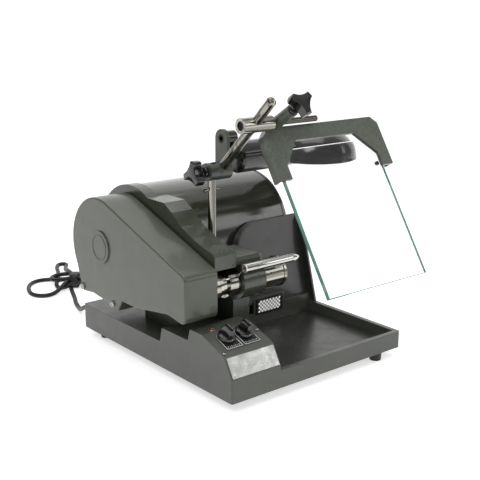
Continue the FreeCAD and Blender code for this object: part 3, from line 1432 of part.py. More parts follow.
def make_plug():
    end_x = "hank_x + plug_along * cos(hank_turn) + plug_back * sin(hank_turn)"
    end_y = "hank_y - plug_along * sin(hank_turn) + plug_back * cos(hank_turn)"
    level = "plug_radius - foot_height"
    finish(turned("plug_body", [
        ("0", "0"), ("0", "cord_radius + 2"), ("plug_length / 3", "plug_radius - 3"), ("plug_length / 2",
            "plug_radius"),
        ("plug_length", "plug_radius"), ("plug_length", "0")]), end_x, end_y, level, "-hank_turn", Z_AXIS)
    pins = [
        box("plug_blade_left", ("plug_length", "-7", "0"), "pin_length", "1.5", "6.3"),
        box("plug_blade_right", ("plug_length", "5.5", "0"), "pin_length", "1.5", "6.3"),
        rod("plug_earth", ("plug_length", "0", "-8"), "x", "2.4", "pin_length + 3"),
    ]
    finish(group("plug_pins", pins), end_x, end_y, level, "-hank_turn", Z_AXIS)


def check_and_write():
    doc.recompute()
    for item in doc.Objects:
        if "Invalid" in item.State or "Error" in item.State:
            print("FAILED", item.Label, item.State)
    os.makedirs("parts", exist_ok=True)
    for item in finished:
        shape = item.Shape
        if shape.isNull() or not shape.isValid():
            print("BAD SHAPE", item.Label, shape.isNull())
            continue
        shape.exportStep(f"parts/{item.Label}.step")


make_base()
make_cover()
make_feet()
make_screen()
make_hood()
make_outlet()
make_motor()
make_rotor()
in_motor(pulley("motor_pulley", "motor_pulley_radius", "shaft_radius"), "pulley_left")
make_belt()
make_guard()
make_guard_fixings()
make_arm()
make_quill()
make_spindle()
make_lever()
make_console_fittings()
make_post()
make_lower_clamp()
make_tilt_rod()
make_sleeve()
make_shield()
make_lamp()
make_lead()
make_hank()
make_plug()
check_and_write()
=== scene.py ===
import json
import math

import bmesh
import bpy
from mathutils import Matrix, Vector


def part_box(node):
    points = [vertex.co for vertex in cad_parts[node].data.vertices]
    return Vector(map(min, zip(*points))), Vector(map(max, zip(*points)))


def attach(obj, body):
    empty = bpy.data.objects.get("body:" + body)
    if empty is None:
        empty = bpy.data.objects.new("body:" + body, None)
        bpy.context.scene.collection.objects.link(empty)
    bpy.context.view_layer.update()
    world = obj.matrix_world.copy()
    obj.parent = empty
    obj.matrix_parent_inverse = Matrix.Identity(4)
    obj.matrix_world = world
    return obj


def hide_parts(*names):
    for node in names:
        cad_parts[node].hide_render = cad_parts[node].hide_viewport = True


# The looks of a bench dental lathe. Points are first written in millimetres from the base's
# front left corner, as in the part's source, and then set in the frame's metres by at().

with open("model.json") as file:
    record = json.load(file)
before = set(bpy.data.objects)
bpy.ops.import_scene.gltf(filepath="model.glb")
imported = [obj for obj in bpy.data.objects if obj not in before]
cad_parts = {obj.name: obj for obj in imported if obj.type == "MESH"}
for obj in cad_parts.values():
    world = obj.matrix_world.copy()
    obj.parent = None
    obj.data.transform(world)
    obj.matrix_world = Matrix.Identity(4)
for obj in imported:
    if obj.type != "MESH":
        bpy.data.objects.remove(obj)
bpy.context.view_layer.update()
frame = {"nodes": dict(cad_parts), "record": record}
nodes = frame["nodes"]

# The frame's origin, from the base's corner
CENTRE_X = 171.5
CENTRE_Y = 173.626
FOOT = 14.0

ACROSS = Vector((1, 0, 0))
LEFT = Vector((-1, 0, 0))
UPWARD = Vector((0, 0, 1))


def at(x, y, z):
    """A point of the machine, from the base's corner, in the frame's metres."""
    return Vector((x - CENTRE_X, y - CENTRE_Y, z + FOOT)) / 1000


def mm(x, y, z):
    """A step in millimetres, in metres."""
    return Vector((x, y, z)) / 1000


def linear(red, green, blue):
    """A colour written as on a screen, 0 to 255, as the shader takes it."""
    values = []
    for channel in (red, green, blue):
        share = channel / 255
        values.append(share / 12.92 if share <= 0.04045 else ((share + 0.055) / 1.055) ** 2.4)
    return values


# Materials

class Shader:
    """A material with one Principled shader, and short calls for the nodes that feed it."""

    def __init__(self, name):
        self.material = bpy.data.materials.new(name)
        self.material.use_nodes = True
        self.tree = self.material.node_tree
        self.tree.nodes.clear()
        self.output = self.tree.nodes.new("ShaderNodeOutputMaterial")
        self.shader = self.tree.nodes.new("ShaderNodeBsdfPrincipled")
        self.link(self.shader.outputs["BSDF"], self.output.inputs["Surface"])
        self.place = self.tree.nodes.new("ShaderNodeTexCoord").outputs["Object"]

    def link(self, source, target):
        self.tree.links.new(source, target)

    def node(self, kind, **values):
        item = self.tree.nodes.new(kind)
        for name, value in values.items():
            setattr(item, name, value)
        return item

    def set(self, **values):
        for name, value in values.items():
            self.shader.inputs[name.replace("_", " ")].default_value = value

    def noise(self, scale, detail=3.0, roughness=0.55, stretch=(1, 1, 1)):
        mapping = self.node("ShaderNodeMapping")
        mapping.inputs["Scale"].default_value = stretch
        self.link(self.place, mapping.inputs["Vector"])
        item = self.node("ShaderNodeTexNoise")
        item.inputs["Scale"].default_value = scale
        item.inputs["Detail"].default_value = detail
        item.inputs["Roughness"].default_value = roughness
        self.link(mapping.outputs["Vector"], item.inputs["Vector"])
        return item.outputs["Fac"]

    def cells(self, scale, feature="F1", smooth=0.3):
        item = self.node("ShaderNodeTexVoronoi", feature=feature)
        item.inputs["Scale"].default_value = scale
        if feature == "SMOOTH_F1":
            item.inputs["Smoothness"].default_value = smooth
        self.link(self.place, item.inputs["Vector"])
        return item.outputs["Distance"]

    def ramp(self, factor, stops):
        item = self.node("ShaderNodeValToRGB")
        ramp = item.color_ramp
        while len(ramp.elements) < len(stops):
            ramp.elements.new(0.5)
        for element, (position, colour) in zip(ramp.elements, stops):
            element.position = position
            element.color = (*colour, 1)
        self.link(factor, item.inputs["Fac"])
        return item.outputs["Color"]

    def spread(self, factor, low, high):
        item = self.node("ShaderNodeMapRange")
        item.inputs["From Min"].default_value = 0.3
        item.inputs["From Max"].default_value = 0.7
        item.inputs["To Min"].default_value = low
        item.inputs["To Max"].default_value = high
        self.link(factor, item.inputs["Value"])
        return item.outputs["Result"]

    def mix(self, factor, first, second):
        item = self.node("ShaderNodeMix", data_type="RGBA")
        self.link(factor, item.inputs["Factor"])
        self.link(first, item.inputs["A"])
        self.link(second, item.inputs["B"])
        return item.outputs["Result"]

    def maths(self, operation, first, second):
        """A maths node on a socket and a second socket or a number."""
        item = self.node("ShaderNodeMath", operation=operation)
        self.link(first, item.inputs[0])
        if isinstance(second, float):
            item.inputs[1].default_value = second
        else:
            self.link(second, item.inputs[1])
        return item.outputs["Value"]

    def bump(self, height, strength, distance, before=None):
        item = self.node("ShaderNodeBump")
        item.inputs["Strength"].default_value = strength
        item.inputs["Distance"].default_value = distance
        self.link(height, item.inputs["Height"])
        if before is not None:
            self.link(before, item.inputs["Normal"])
        return item.outputs["Normal"]

    def soft_edges(self, radius):
        item = self.node("ShaderNodeBevel", samples=4)
        item.inputs["Radius"].default_value = radius
        return item.outputs["Normal"]

    def normal(self, source):
        self.link(source, self.shader.inputs["Normal"])


def shade_of(colour, factor):
    return [min(1.0, channel * factor) for channel in colour]


def paint(name, colour, rough, coat, texture_scale, texture_depth, edge=0.0012, mottle=0.1):
    """Sprayed enamel over a casting: an orange-peel skin, slight mottling and soft edges."""
    made = Shader(name)
    broad = made.noise(14, 4)
    colours = made.ramp(broad, [(0.3, shade_of(colour, 1 - mottle)), (0.7, shade_of(colour, 1 + mottle))])
    made.link(colours, made.shader.inputs["Base Color"])
    made.link(made.spread(made.noise(60, 3), rough - 0.05, rough + 0.07), made.shader.inputs["Roughness"])
    made.set(Coat_Weight=coat, Coat_Roughness=0.12, Specular_IOR_Level=0.5)
    fine = made.bump(made.noise(texture_scale, 2, 0.5), 0.5, texture_depth, made.soft_edges(edge))
    made.normal(made.bump(made.noise(texture_scale / 7, 2), 0.35, texture_depth * 2, fine))
    return made.material


def metal(name, colour, rough, grain=(1, 1, 1), grain_scale=900, depth=0.00002, edge=0.0005):
    """Bare or plated metal: faint turning marks, handling haze and bright soft edges."""
    made = Shader(name)
    haze = made.noise(45, 4)
    colours = made.ramp(haze, [(0.35, shade_of(colour, 0.9)), (0.65, shade_of(colour, 1.04))])
    made.link(colours, made.shader.inputs["Base Color"])
    made.link(made.spread(made.noise(120, 3), rough * 0.8, rough * 1.35), made.shader.inputs["Roughness"])
    made.set(Metallic=1.0)
    made.normal(made.bump(made.noise(grain_scale, 2, 0.6, grain), 0.4, depth, made.soft_edges(edge)))
    return made.material


def plastic(name, colour, rough, coat=0.0, depth=0.00006, scale=420):
    """Moulded plastic, rubber or ink: a fine grain and a slightly uneven colour."""
    made = Shader(name)
    colours = made.ramp(made.noise(30, 3), [(0.3, shade_of(colour, 0.85)), (0.7, shade_of(colour, 1.2))])
    made.link(colours, made.shader.inputs["Base Color"])
    made.link(made.spread(made.noise(90, 3), rough - 0.04, rough + 0.08), made.shader.inputs["Roughness"])
    made.set(Coat_Weight=coat, Coat_Roughness=0.08)
    made.normal(made.bump(made.noise(scale, 2), 0.4, depth, made.soft_edges(0.0006)))
    return made.material


def hammered(name, colour):
    """Hammer-finish enamel: shallow rounded cells under a glossy skin."""
    made = Shader(name)
    cells = made.cells(230, "SMOOTH_F1", 0.6)
    colours = made.ramp(cells, [(0.1, shade_of(colour, 1.12)), (0.75, shade_of(colour, 0.86))])
    made.link(colours, made.shader.inputs["Base Color"])
    made.link(made.spread(made.noise(70, 3), 0.3, 0.42), made.shader.inputs["Roughness"])
    made.set(Coat_Weight=0.35, Coat_Roughness=0.15, Metallic=0.25)
    made.normal(made.bump(cells, 0.35, 0.0004, made.soft_edges(0.0011)))
    return made.material


# The pan's floor lies between these two heights, where the painted shade goes
PAN_SHADE_BOTTOM = 9
PAN_SHADE_TOP = 12


def casting(name, colour, rough):
    """The base's enamel, much darker on the pan's floor: painted shade in the sunken pan under the spindle.
    """
    made = Shader(name)
    place = made.node("ShaderNodeSeparateXYZ")
    made.link(made.node("ShaderNodeNewGeometry").outputs["Position"], place.inputs["Vector"])
    facing = made.node("ShaderNodeSeparateXYZ")
    made.link(made.node("ShaderNodeNewGeometry").outputs["True Normal"], facing.inputs["Vector"])
    low = made.maths("LESS_THAN", place.outputs["Z"], at(0, 0, PAN_SHADE_TOP).z)
    inside = made.maths("GREATER_THAN", place.outputs["Z"], at(0, 0, PAN_SHADE_BOTTOM).z)
    upward = made.maths("GREATER_THAN", facing.outputs["Z"], 0.9)
    floor = made.maths("MULTIPLY", made.maths("MULTIPLY", low, inside), upward)
    broad = made.noise(9, 4)
    plain = made.ramp(broad, [(0.3, shade_of(colour, 0.9)), (0.7, shade_of(colour, 1.1))])
    # Painted shade: the pan's floor takes the enamel at about a quarter to a half of its colour
    dark = made.ramp(broad, [(0.3, shade_of(colour, 0.28)), (0.7, shade_of(colour, 0.5))])
    made.link(made.mix(floor, plain, dark), made.shader.inputs["Base Color"])
    made.link(made.spread(made.noise(60, 3), rough - 0.06, rough + 0.08), made.shader.inputs["Roughness"])
    made.set(Coat_Weight=0.25, Coat_Roughness=0.2)
    fine = made.bump(made.noise(420, 2, 0.5), 0.5, 0.0003, made.soft_edges(0.0014))
    made.normal(made.bump(made.noise(70, 2), 0.35, 0.0005, fine))
    return made.material


def plated(name, colour, stretch):
    """Chrome with long darker and lighter bands painted into its colour, drawn out along one direction:
    painted reflection streaks.
    """
    made = Shader(name)
    bands = made.noise(1.0, 3, 0.6, stretch)
    # Painted reflection: in the dark bands the colour falls to under half
    colours = made.ramp(bands, [(0.4, shade_of(colour, 0.45)), (0.5, shade_of(colour, 0.85)), (0.62, colour)])
    made.link(colours, made.shader.inputs["Base Color"])
    made.link(made.spread(made.noise(90, 3), 0.05, 0.13), made.shader.inputs["Roughness"])
    made.set(Metallic=1.0)
    made.normal(made.bump(made.noise(700, 2), 0.25, 0.00002, made.soft_edges(0.0006)))
    return made.material


def clear_glass(name, tint, pale_tint):
    """Glass that lets the lights' shadow rays and the diffuse light straight through."""
    made = Shader(name)
    colours = made.ramp(made.noise(9, 3), [(0.3, tint), (0.7, pale_tint)])
    made.link(colours, made.shader.inputs["Base Color"])
    made.set(Roughness=0.0, Transmission_Weight=1.0, IOR=1.45)
    path = made.node("ShaderNodeLightPath")
    clear = made.node("ShaderNodeBsdfTransparent")
    clear.inputs["Color"].default_value = (*tint, 1)
    mixed = made.node("ShaderNodeMixShader")
    either = made.maths("MAXIMUM", path.outputs["Is Shadow Ray"], path.outputs["Is Diffuse Ray"])
    made.link(either, mixed.inputs["Fac"])
    made.link(made.shader.outputs["BSDF"], mixed.inputs[1])
    made.link(clear.outputs["BSDF"], mixed.inputs[2])
    made.link(mixed.outputs["Shader"], made.output.inputs["Surface"])
    return made.material


looks = {
    "base_paint": casting("base_enamel", linear(82, 85, 78), 0.36),
    "guard_paint": paint("guard_enamel", linear(84, 89, 77), rough=0.34, coat=0.4, texture_scale=420,
                         texture_depth=0.00018, mottle=0.05),
    "arm_paint": paint("arm_enamel", linear(66, 72, 60), rough=0.3, coat=0.5, texture_scale=460,
                       texture_depth=0.0003),
    "hood_paint": paint("hood_enamel", linear(62, 64, 61), rough=0.36, coat=0.35, texture_scale=480,
                        texture_depth=0.0002),
    "motor_paint": paint("motor_enamel", linear(58, 60, 50), rough=0.17, coat=0.9, texture_scale=150,
                         texture_depth=0.00002, mottle=0.06),
    "frame_paint": hammered("frame_enamel", linear(100, 106, 96)),
    "shade_paint": paint("shade_enamel", linear(24, 25, 22), rough=0.2, coat=0.6, texture_scale=200,
                         texture_depth=0.00003, mottle=0.08),
    "chrome": plated("chrome_plate", linear(190, 187, 178), stretch=(3, 150, 150)),
    "steel": metal("bright_steel", linear(180, 177, 170), rough=0.24, depth=0.00004),
    "screen_steel": plastic("screen_sheet", linear(22, 22, 21), rough=0.35, coat=0.2),
    "aluminium": metal("turned_aluminium", linear(176, 177, 176), rough=0.33, grain=(6, 1, 1),
                       depth=0.00005),
    "laminations": metal("stacked_laminations", linear(105, 103, 100), rough=0.45, grain=(12, 1, 1),
                         grain_scale=300, depth=0.0002),
    "black_plastic": plastic("black_moulding", linear(8, 7, 7), rough=0.14, coat=0.8),
    "legend_black": plastic("legend_panel", linear(24, 24, 24), rough=0.42),
    "plate_silver": metal("blank_plate_sheet", linear(205, 207, 203), rough=0.36, grain=(1, 3, 3),
                          grain_scale=260, depth=0.0006),
    "pilot_red": plastic("pilot_lens", linear(150, 26, 20), rough=0.12, coat=0.8, depth=0.00002),
    "black_rubber": plastic("black_rubber_skin", linear(14, 14, 15), rough=0.45, coat=0.05,
                            depth=0.00012, scale=700),
    "brass_pins": metal("plug_brass", linear(196, 164, 96), rough=0.28),
    "shield_glass": clear_glass("shield_pane", (0.9, 0.905, 0.9), (0.95, 0.96, 0.955)),
    "bulb_glass": plastic("frosted_bulb", linear(232, 230, 222), rough=0.3, coat=0.3, depth=0.00002),
}
post_chrome = plated("post_plate", linear(160, 157, 148), stretch=(150, 150, 3))
blued = metal("blued_bar", linear(88, 86, 80), rough=0.18)
rim_satin = metal("handle_rim_satin", linear(248, 247, 244), rough=0.42, depth=0.00002)
handle_chrome = plated("handle_plate", linear(226, 224, 218), stretch=(3, 170, 170))
legend_white = plastic("legend_ink", linear(225, 225, 222), rough=0.5, depth=0.00002)
# Near-black: the socket screws' own dark caps, and painted shade in screw slots and in the handle's bore
dark_caps_and_painted_shade = plastic("screw_slot", linear(30, 29, 28), rough=0.5)
glass_edge = plastic("glass_edge_green", linear(120, 176, 162), rough=0.1, coat=0.8, depth=0.00002)

# The fleece glows a little by its own emission: painted light, standing in for the light that fills the hood
glowing_fleece = plastic("fleece_painted_glow", linear(250, 250, 246), rough=0.7, depth=0.0001, scale=300)
fleece_glow_shader = next(n for n in glowing_fleece.node_tree.nodes if n.type == "BSDF_PRINCIPLED")
fleece_glow_shader.inputs["Emission Color"].default_value = (1, 1, 0.98, 1)
fleece_glow_shader.inputs["Emission Strength"].default_value = 0.8

for part in frame["record"]["subparts"]:
    item = nodes[part["node"]]
    look = looks[part["material_slot"]]
    if item.data.materials:
        for slot in item.material_slots:
            slot.material = look
    else:
        item.data.materials.append(look)
for name, look in (("shield_post", post_chrome), ("post_pin", post_chrome), ("tilt_rod", post_chrome),
                   ("pivot_bar", blued)):
    for slot in nodes[name].material_slots:
        slot.material = look


# Pieces

def piece(name, mesh, look, body, smooth=40):
    """Add a finished mesh to the scene, riding on a body."""
    item = bpy.data.objects.new(name, mesh)
    bpy.context.scene.collection.objects.link(item)
    mesh.materials.append(look)
    for face in mesh.polygons:
        face.use_smooth = True
    mesh.set_sharp_from_angle(angle=math.radians(smooth))
    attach(item, body)
    return item


def mesh_from(name, build):
    work = bmesh.new()
    build(work)
    bmesh.ops.recalc_face_normals(work, faces=work.faces)
    mesh = bpy.data.meshes.new(name)
    work.to_mesh(mesh)
    work.free()
    return mesh


def set_down(mesh, matrix):
    mesh.transform(matrix)
    return mesh


def around(steps):
    """The angles of a full turn in equal steps."""
    return [2 * math.pi * step / steps for step in range(steps)]


def join_rings(work, rings):
    """Walls between rings of the same number of points."""
    for low, high in zip(rings, rings[1:]):
        for step in range(len(low)):
            after = (step + 1) % len(low)
            work.faces.new((low[step], low[after], high[after], high[step]))


def close_rings(work, rings):
    """Walls between the rings, and a face on the first and the last."""
    join_rings(work, rings)
    work.faces.new(rings[0])
    work.faces.new(rings[-1])


def lathe(name, profile, steps=64, closed=True):
    """A round mesh about z, from (radius, height) pairs in millimetres."""
    def build(work):
        rings = []
        for radius, height in profile:
            if radius == 0:
                rings.append([work.verts.new(mm(0, 0, height))])
                continue
            ring = []
            for angle in around(steps):
                ring.append(work.verts.new(mm(radius * math.cos(angle), radius * math.sin(angle), height)))
            rings.append(ring)
        pairs = list(zip(rings, rings[1:]))
        if closed:
            pairs.append((rings[-1], rings[0]))
        for low, high in pairs:
            if len(low) == 1 and len(high) == 1:
                continue
            for step in range(steps):
                after = (step + 1) % steps
                corners = []
                for ring, index in ((low, step), (low, after), (high, after), (high, step)):
                    vertex = ring[index % len(ring)]
                    if vertex not in corners:
                        corners.append(vertex)
                if len(corners) > 2:
                    work.faces.new(corners)
    return mesh_from(name, build)


# Fittings drawn in their own frames and set down on the machine

def frame_at(origin, along, up):
    """A matrix with z along one direction and x as near as it can be to another."""
    z = Vector(along).normalized()
    x = (Vector(up) - z * Vector(up).dot(z)).normalized()
    y = z.cross(x)
    turn = Matrix((x, y, z)).transposed().to_4x4()
    return Matrix.Translation(at(*origin)) @ turn


# The shield: its pivot at the end of the tilted arm, and its own directions
CLAMP_LEFT = 83
CLAMP_Y = 158
CLAMP_Z = 250
ARM_LENGTH = 97
ARM_LEAN = math.radians(45.6)
PIN_Y = CLAMP_Y - ARM_LENGTH * math.sin(ARM_LEAN)
PIN_Z = CLAMP_Z + ARM_LENGTH * math.cos(ARM_LEAN)
LEAN = math.radians(32.3)
NORMAL = Vector((0, -math.cos(LEAN), math.sin(LEAN)))
DOWN = Vector((0, -math.sin(LEAN), -math.cos(LEAN)))


def on_shield(x, forward, down):
    """A point of the tilted shield: across, out of its face towards the user, and down from its pivot."""
    place = Vector((x, PIN_Y, PIN_Z)) + NORMAL * forward + DOWN * down
    return tuple(place)


# The star knobs' outline
LOBES = 3
LOBE_REACH = 17.4
SCALLOP_OFFSET = 35
SCALLOP_RADIUS = 26


def lobe_outline(angle):
    """How far the knob reaches at an angle: rounded lobes cut by long concave scallops."""
    share = 2 * math.pi / LOBES
    off = angle % share - share / 2
    inside = SCALLOP_RADIUS ** 2 - (SCALLOP_OFFSET * math.sin(off)) ** 2
    if inside <= 0:
        return LOBE_REACH
    return min(LOBE_REACH, SCALLOP_OFFSET * math.cos(off) - math.sqrt(inside))


def star_knob(name, body, matrix, node, first_lobe):
    """A moulded knob: grooved round neck, three lobes with rolled edges and a low domed front."""
    # Height, round core's radius, and the outline's share against the core
    levels = [(0.4, 6.6, 0.0), (1.0, 7.0, 0.0), (3.6, 7.0, 0.0), (4.0, 6.6, 0.0), (4.4, 7.1, 0.0),
              (10.4, 7.4, 0.0), (11.6, 7.6, 0.1), (12.1, 7.4, 0.5), (12.3, 7.4, 0.9), (12.8, 7.4, 0.98),
              (13.4, 7.4, 1.0), (23.8, 7.4, 1.0), (24.5, 7.4, 0.985), (24.9, 7.3, 0.95), (25.1, 7.1, 0.88),
              (25.15, 6.6, 0.7), (25.4, 5.6, 0.45), (25.7, 4.4, 0.25), (25.9, 3, 0.1), (26.0, 1, 0.0)]

    def build(work):
        rings = []
        for height, core, share in levels:
            ring = []
            for angle in around(128):
                radius = core * (1 - share) + lobe_outline(angle - first_lobe) * share
                ring.append(work.verts.new(mm(radius * math.cos(angle), radius * math.sin(angle), height)))
            rings.append(ring)
        close_rings(work, rings)

    made = piece(name, set_down(mesh_from(name, build), matrix), looks["black_plastic"], body,
                 50)
    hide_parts(node)


def socket_screw(name, body, matrix, radius):
    """A dark cap with a chamfered rim and a hexagonal recess."""
    steps = 48
    sixth = math.pi / 3

    def build(work):
        rings = []
        for height, scale in ((-1.2, 1.0), (-0.5, 1.0), (-0.1, 0.93)):
            ring = []
            for angle in around(steps):
                reach = radius * scale
                ring.append(work.verts.new(mm(reach * math.cos(angle), reach * math.sin(angle), height)))
            rings.append(ring)
        for height in (-0.1, -1.1):
            ring = []
            for angle in around(steps):
                flat = 0.58 * radius / math.cos((angle + sixth / 2) % sixth - sixth / 2)
                ring.append(work.verts.new(mm(flat * math.cos(angle), flat * math.sin(angle), height)))
            rings.append(ring)
        close_rings(work, rings)

    piece(name, set_down(mesh_from(name, build), matrix), dark_caps_and_painted_shade, body, 30)


def slotted_screw(name, body, matrix, radius, rise):
    """A low domed head with a milled slot, as two pieces: the slot is a dark box set into the head, painted
    shade for the groove.
    """
    profile = [(0, 0), (radius, 0), (radius, rise * 0.35), (radius * 0.94, rise * 0.62),
               (radius * 0.75, rise * 0.85), (radius * 0.4, rise * 0.98), (0, rise)]
    head = lathe(name, profile, 40, closed=False)
    piece(name, set_down(head, matrix), looks["steel"], body, 50)

    def build(work):
        bmesh.ops.create_cube(work, size=1)
        for vertex in work.verts:
            x, y, z = vertex.co
            vertex.co = mm(1.75 * radius * x, 0.28 * radius * y, rise * (0.5 * z + 0.78))

    slot = mesh_from(name + "_slot", build)
    piece(name + "_slot", set_down(slot, matrix), dark_caps_and_painted_shade, body, 30)


def slab(name, corners, thick):
    """A plate from its outline's points in millimetres, thick along z."""
    def build(work):
        low = [work.verts.new(mm(x, y, 0)) for x, y in corners]
        high = [work.verts.new(mm(x, y, thick)) for x, y in corners]
        work.faces.new(low[::-1])
        work.faces.new(high)
        for index in range(len(corners)):
            after = (index + 1) % len(corners)
            work.faces.new((low[index], low[after], high[after], high[index]))
    return mesh_from(name, build)


def flat_ring(name, outer, inner, low, high):
    """A closed flat ring between two outlines of the same number of points."""
    def build(work):
        rings = []
        for line, height in ((outer, low), (outer, high), (inner, high), (inner, low)):
            rings.append([work.verts.new(mm(x, y, height)) for x, y in line])
        join_rings(work, rings + rings[:1])
    return mesh_from(name, build)


# Knobs of the shield
BARREL_X = 145
BARREL_REACH = 34
star_knob("lower_star", "clamp_knob", frame_at((CLAMP_LEFT, CLAMP_Y, CLAMP_Z), LEFT, UPWARD), "lower_knob",
          first_lobe=math.radians(-10))
star_knob("upper_star", "frame_knob", frame_at(on_shield(BARREL_X, BARREL_REACH, 0), NORMAL, ACROSS),
          "upper_knob", first_lobe=math.radians(33))

# Console: legends, pointer knobs, pilot lamp and panel screws
PANEL_FRONT_Y = 15
PANEL_FRONT_Z = 56
PANEL_BACK_Y = 59
PANEL_BACK_Z = 72
PANEL = math.atan2(PANEL_BACK_Z - PANEL_FRONT_Z, PANEL_BACK_Y - PANEL_FRONT_Y)
PANEL_OUT = Vector((0, -math.sin(PANEL), math.cos(PANEL)))
DIAL_ALONG = 17
FIRST_DIAL_X = 25
DIAL_PITCH = 28
LEGEND_TOP = 0.95


def panel_frame(x, along, rise):
    """A matrix on the sloping panel, at a distance down from its upper edge: y up the slope, z out of it."""
    back = Vector((0, math.cos(PANEL), math.sin(PANEL)))
    place = Vector((x, PANEL_BACK_Y, PANEL_BACK_Z)) - back * along + PANEL_OUT * rise
    turn = Matrix((ACROSS, back, PANEL_OUT)).transposed().to_4x4()
    return Matrix.Translation(at(*place)) @ turn


def legend_outline(inset):
    """A plate with a round top, pulled in by an inset."""
    half = 12.5 - inset
    foot = -20 + inset
    steps = 24
    points = [(-half, foot)]
    for step in range(steps + 1):
        angle = math.pi - math.pi * step / steps
        points.append((half * math.cos(angle), half * math.sin(angle)))
    points.append((half, foot))
    return points


def pointer_knob(name, body, matrix, node):
    """A skirted knob with a fluted skirt and a tapered finger grip that points forward."""
    black = looks["black_plastic"]

    def skirt_mesh(work):
        flutes = 24
        # Height, radius and the flutes' depth
        levels = [(1.2, 11.9, 0.0), (2.0, 12.0, 0.35), (5.2, 11.7, 0.35), (6.2, 10.9, 0.1), (6.6, 9.6, 0.0)]
        rings = []
        for height, radius, flute in levels:
            ring = []
            for angle in around(4 * flutes):
                reach = radius - flute * (1 + math.cos(flutes * angle)) / 2
                ring.append(work.verts.new(mm(reach * math.cos(angle), reach * math.sin(angle), height)))
            rings.append(ring)
        close_rings(work, rings)

    def grip_mesh(work):
        # Height, half the width, front and back
        levels = [(6.0, 4.2, -10.6, 10.0), (10.0, 3.7, -10.7, 9.2), (15.0, 3.0, -10.2, 7.6),
                  (18.5, 2.4, -9.0, 5.6), (20.4, 1.5, -7.4, 4.0)]
        sections = []
        for height, half, front, back in levels:
            outline = ((-half, back - 1.4), (-half * 0.6, back), (half * 0.6, back), (half, back - 1.4),
                       (half, front + 2.6), (half * 0.3, front), (-half * 0.3, front), (-half, front + 2.6))
            sections.append([work.verts.new(mm(x, y, height)) for x, y in outline])
        close_rings(work, sections)

    made = []
    for part, build in (("_skirt", skirt_mesh), ("_grip", grip_mesh)):
        shape = set_down(mesh_from(name + part, build), matrix)
        made.append(piece(name + part, shape, black, body, 35))
    skirt, grip = made
    soft = grip.modifiers.new("soft_edges", "BEVEL")
    soft.width = 0.0005
    soft.segments = 3
    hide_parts(node)
    line = slab(name + "_line", [(-0.5, -11.4), (0.5, -11.4), (0.5, -10.9), (-0.5, -10.9)], 4.0)
    piece(name + "_line", set_down(line, matrix @ Matrix.Translation(mm(0, 0, 2))), legend_white, body,
          30)


def legend_ticks(index, centre):
    """Seven strokes below a dial, each second one shorter."""
    spot = panel_frame(centre, DIAL_ALONG, 0.02)
    half = 0.35
    foot = -17.4
    for step in range(7):
        x = -8.4 + 2.8 * step
        top = foot + (1.5 if step % 2 else 2.6)
        name = f"legend_tick_{index}_{step}"
        tick = slab(name, [(x - half, foot), (x + half, foot), (x + half, top), (x - half, top)], LEGEND_TOP)
        piece(name, set_down(tick, spot), legend_white, "base", 30)


for index, (dial, node) in enumerate((("power_dial", "power_knob"), ("speed_dial", "speed_knob"))):
    centre = FIRST_DIAL_X + DIAL_PITCH * index
    spot = panel_frame(centre, DIAL_ALONG, 0)
    pointer_knob(node + "_shape", dial, spot, node)
    name = f"legend_border_{index}"
    border = flat_ring(name, legend_outline(0.25), legend_outline(1.15), 0.8, LEGEND_TOP)
    piece(name, set_down(border, spot), legend_white, "base", 30)
    legend_ticks(index, centre)

for side, x, along in (("right", 74, 17), ("left", 4, 41)):
    slotted_screw(f"panel_screw_{side}_head", "base", panel_frame(x, along, 0.9), radius=2.6, rise=1.0)

# Pilot lamp: a red dome in a bright bezel
pilot_spot = frame_at((19, 64, 72), UPWARD, ACROSS)
lens = lathe("pilot_dome", [(0, 0.4), (2.9, 0.4), (2.9, 1.6), (2.6, 2.6), (1.9, 3.3), (1.0, 3.7), (0, 3.8)],
             40, closed=False)
piece("pilot_dome", set_down(lens, pilot_spot), looks["pilot_red"], "base", 60)
bezel = lathe("pilot_bezel", [(3.0, 0), (3.9, 0), (3.9, 0.6), (3.5, 1.1), (3.1, 1.1), (3.0, 0.8)], 40)
piece("pilot_bezel", set_down(bezel, pilot_spot), looks["steel"], "base", 40)

# Filter fleece behind the perforated plate: white, and glowing with painted light
FLEECE_Y = 176.2
fleece = slab("dust_fleece", [(189.5, 26.5), (233.5, 26.5), (233.5, 43.5), (189.5, 43.5)], 1.0)
stood_up = Matrix(((1, 0, 0, 0), (0, 0, -1, 0), (0, 1, 0, 0), (0, 0, 0, 1)))
fleece_spot = Matrix.Translation(at(0, FLEECE_Y, 0)) @ stood_up
piece("dust_fleece", set_down(fleece, fleece_spot), glowing_fleece, "base", 30)

# Guard: a raised bead on the boss and slotted screws
BOSS_Y = 266
BOSS_Z = 142
bead = lathe("boss_bead", [(16.6, -0.3), (16.6, 0.3), (17.2, 0.6), (17.8, 0.3), (17.8, -0.3)], 72)
bead_spot = frame_at((-19, BOSS_Y, BOSS_Z), LEFT, UPWARD)
piece("boss_bead", set_down(bead, bead_spot), looks["guard_paint"], "base", 40)
for index, (y, z) in enumerate(((238, 68), (318, 74))):
    slotted_screw(f"guard_screw_head_{index}", "base", frame_at((-18.5, y, z), LEFT, (0, 0.5, 1)),
                  radius=4.6, rise=1.1)

# Motor: domed bolts on the end bell
BELL_RIGHT = 262.4
MOTOR_Y = 270
MOTOR_Z = 135
BOLT_CIRCLE = 72
for index in range(4):
    angle = math.radians(90 * index + 30)
    place = (BELL_RIGHT, MOTOR_Y + BOLT_CIRCLE * math.cos(angle), MOTOR_Z + BOLT_CIRCLE * math.sin(angle))
    slotted_screw(f"bell_screw_{index}", "base", frame_at(place, ACROSS, (0, 1, 1)), radius=4.1, rise=1.2)

# Sockets in the ends of the sleeve and of the lamp's bolt
LAMP_Y = 182
LAMP_BOLT_Z = 287.5
socket_screw("sleeve_socket", "sleeve", frame_at((86.2, PIN_Y, PIN_Z), LEFT, UPWARD), 5.9)
socket_screw("bracket_socket", "carriage", frame_at((126.9, LAMP_Y, LAMP_BOLT_Z), LEFT, UPWARD), 5.8)

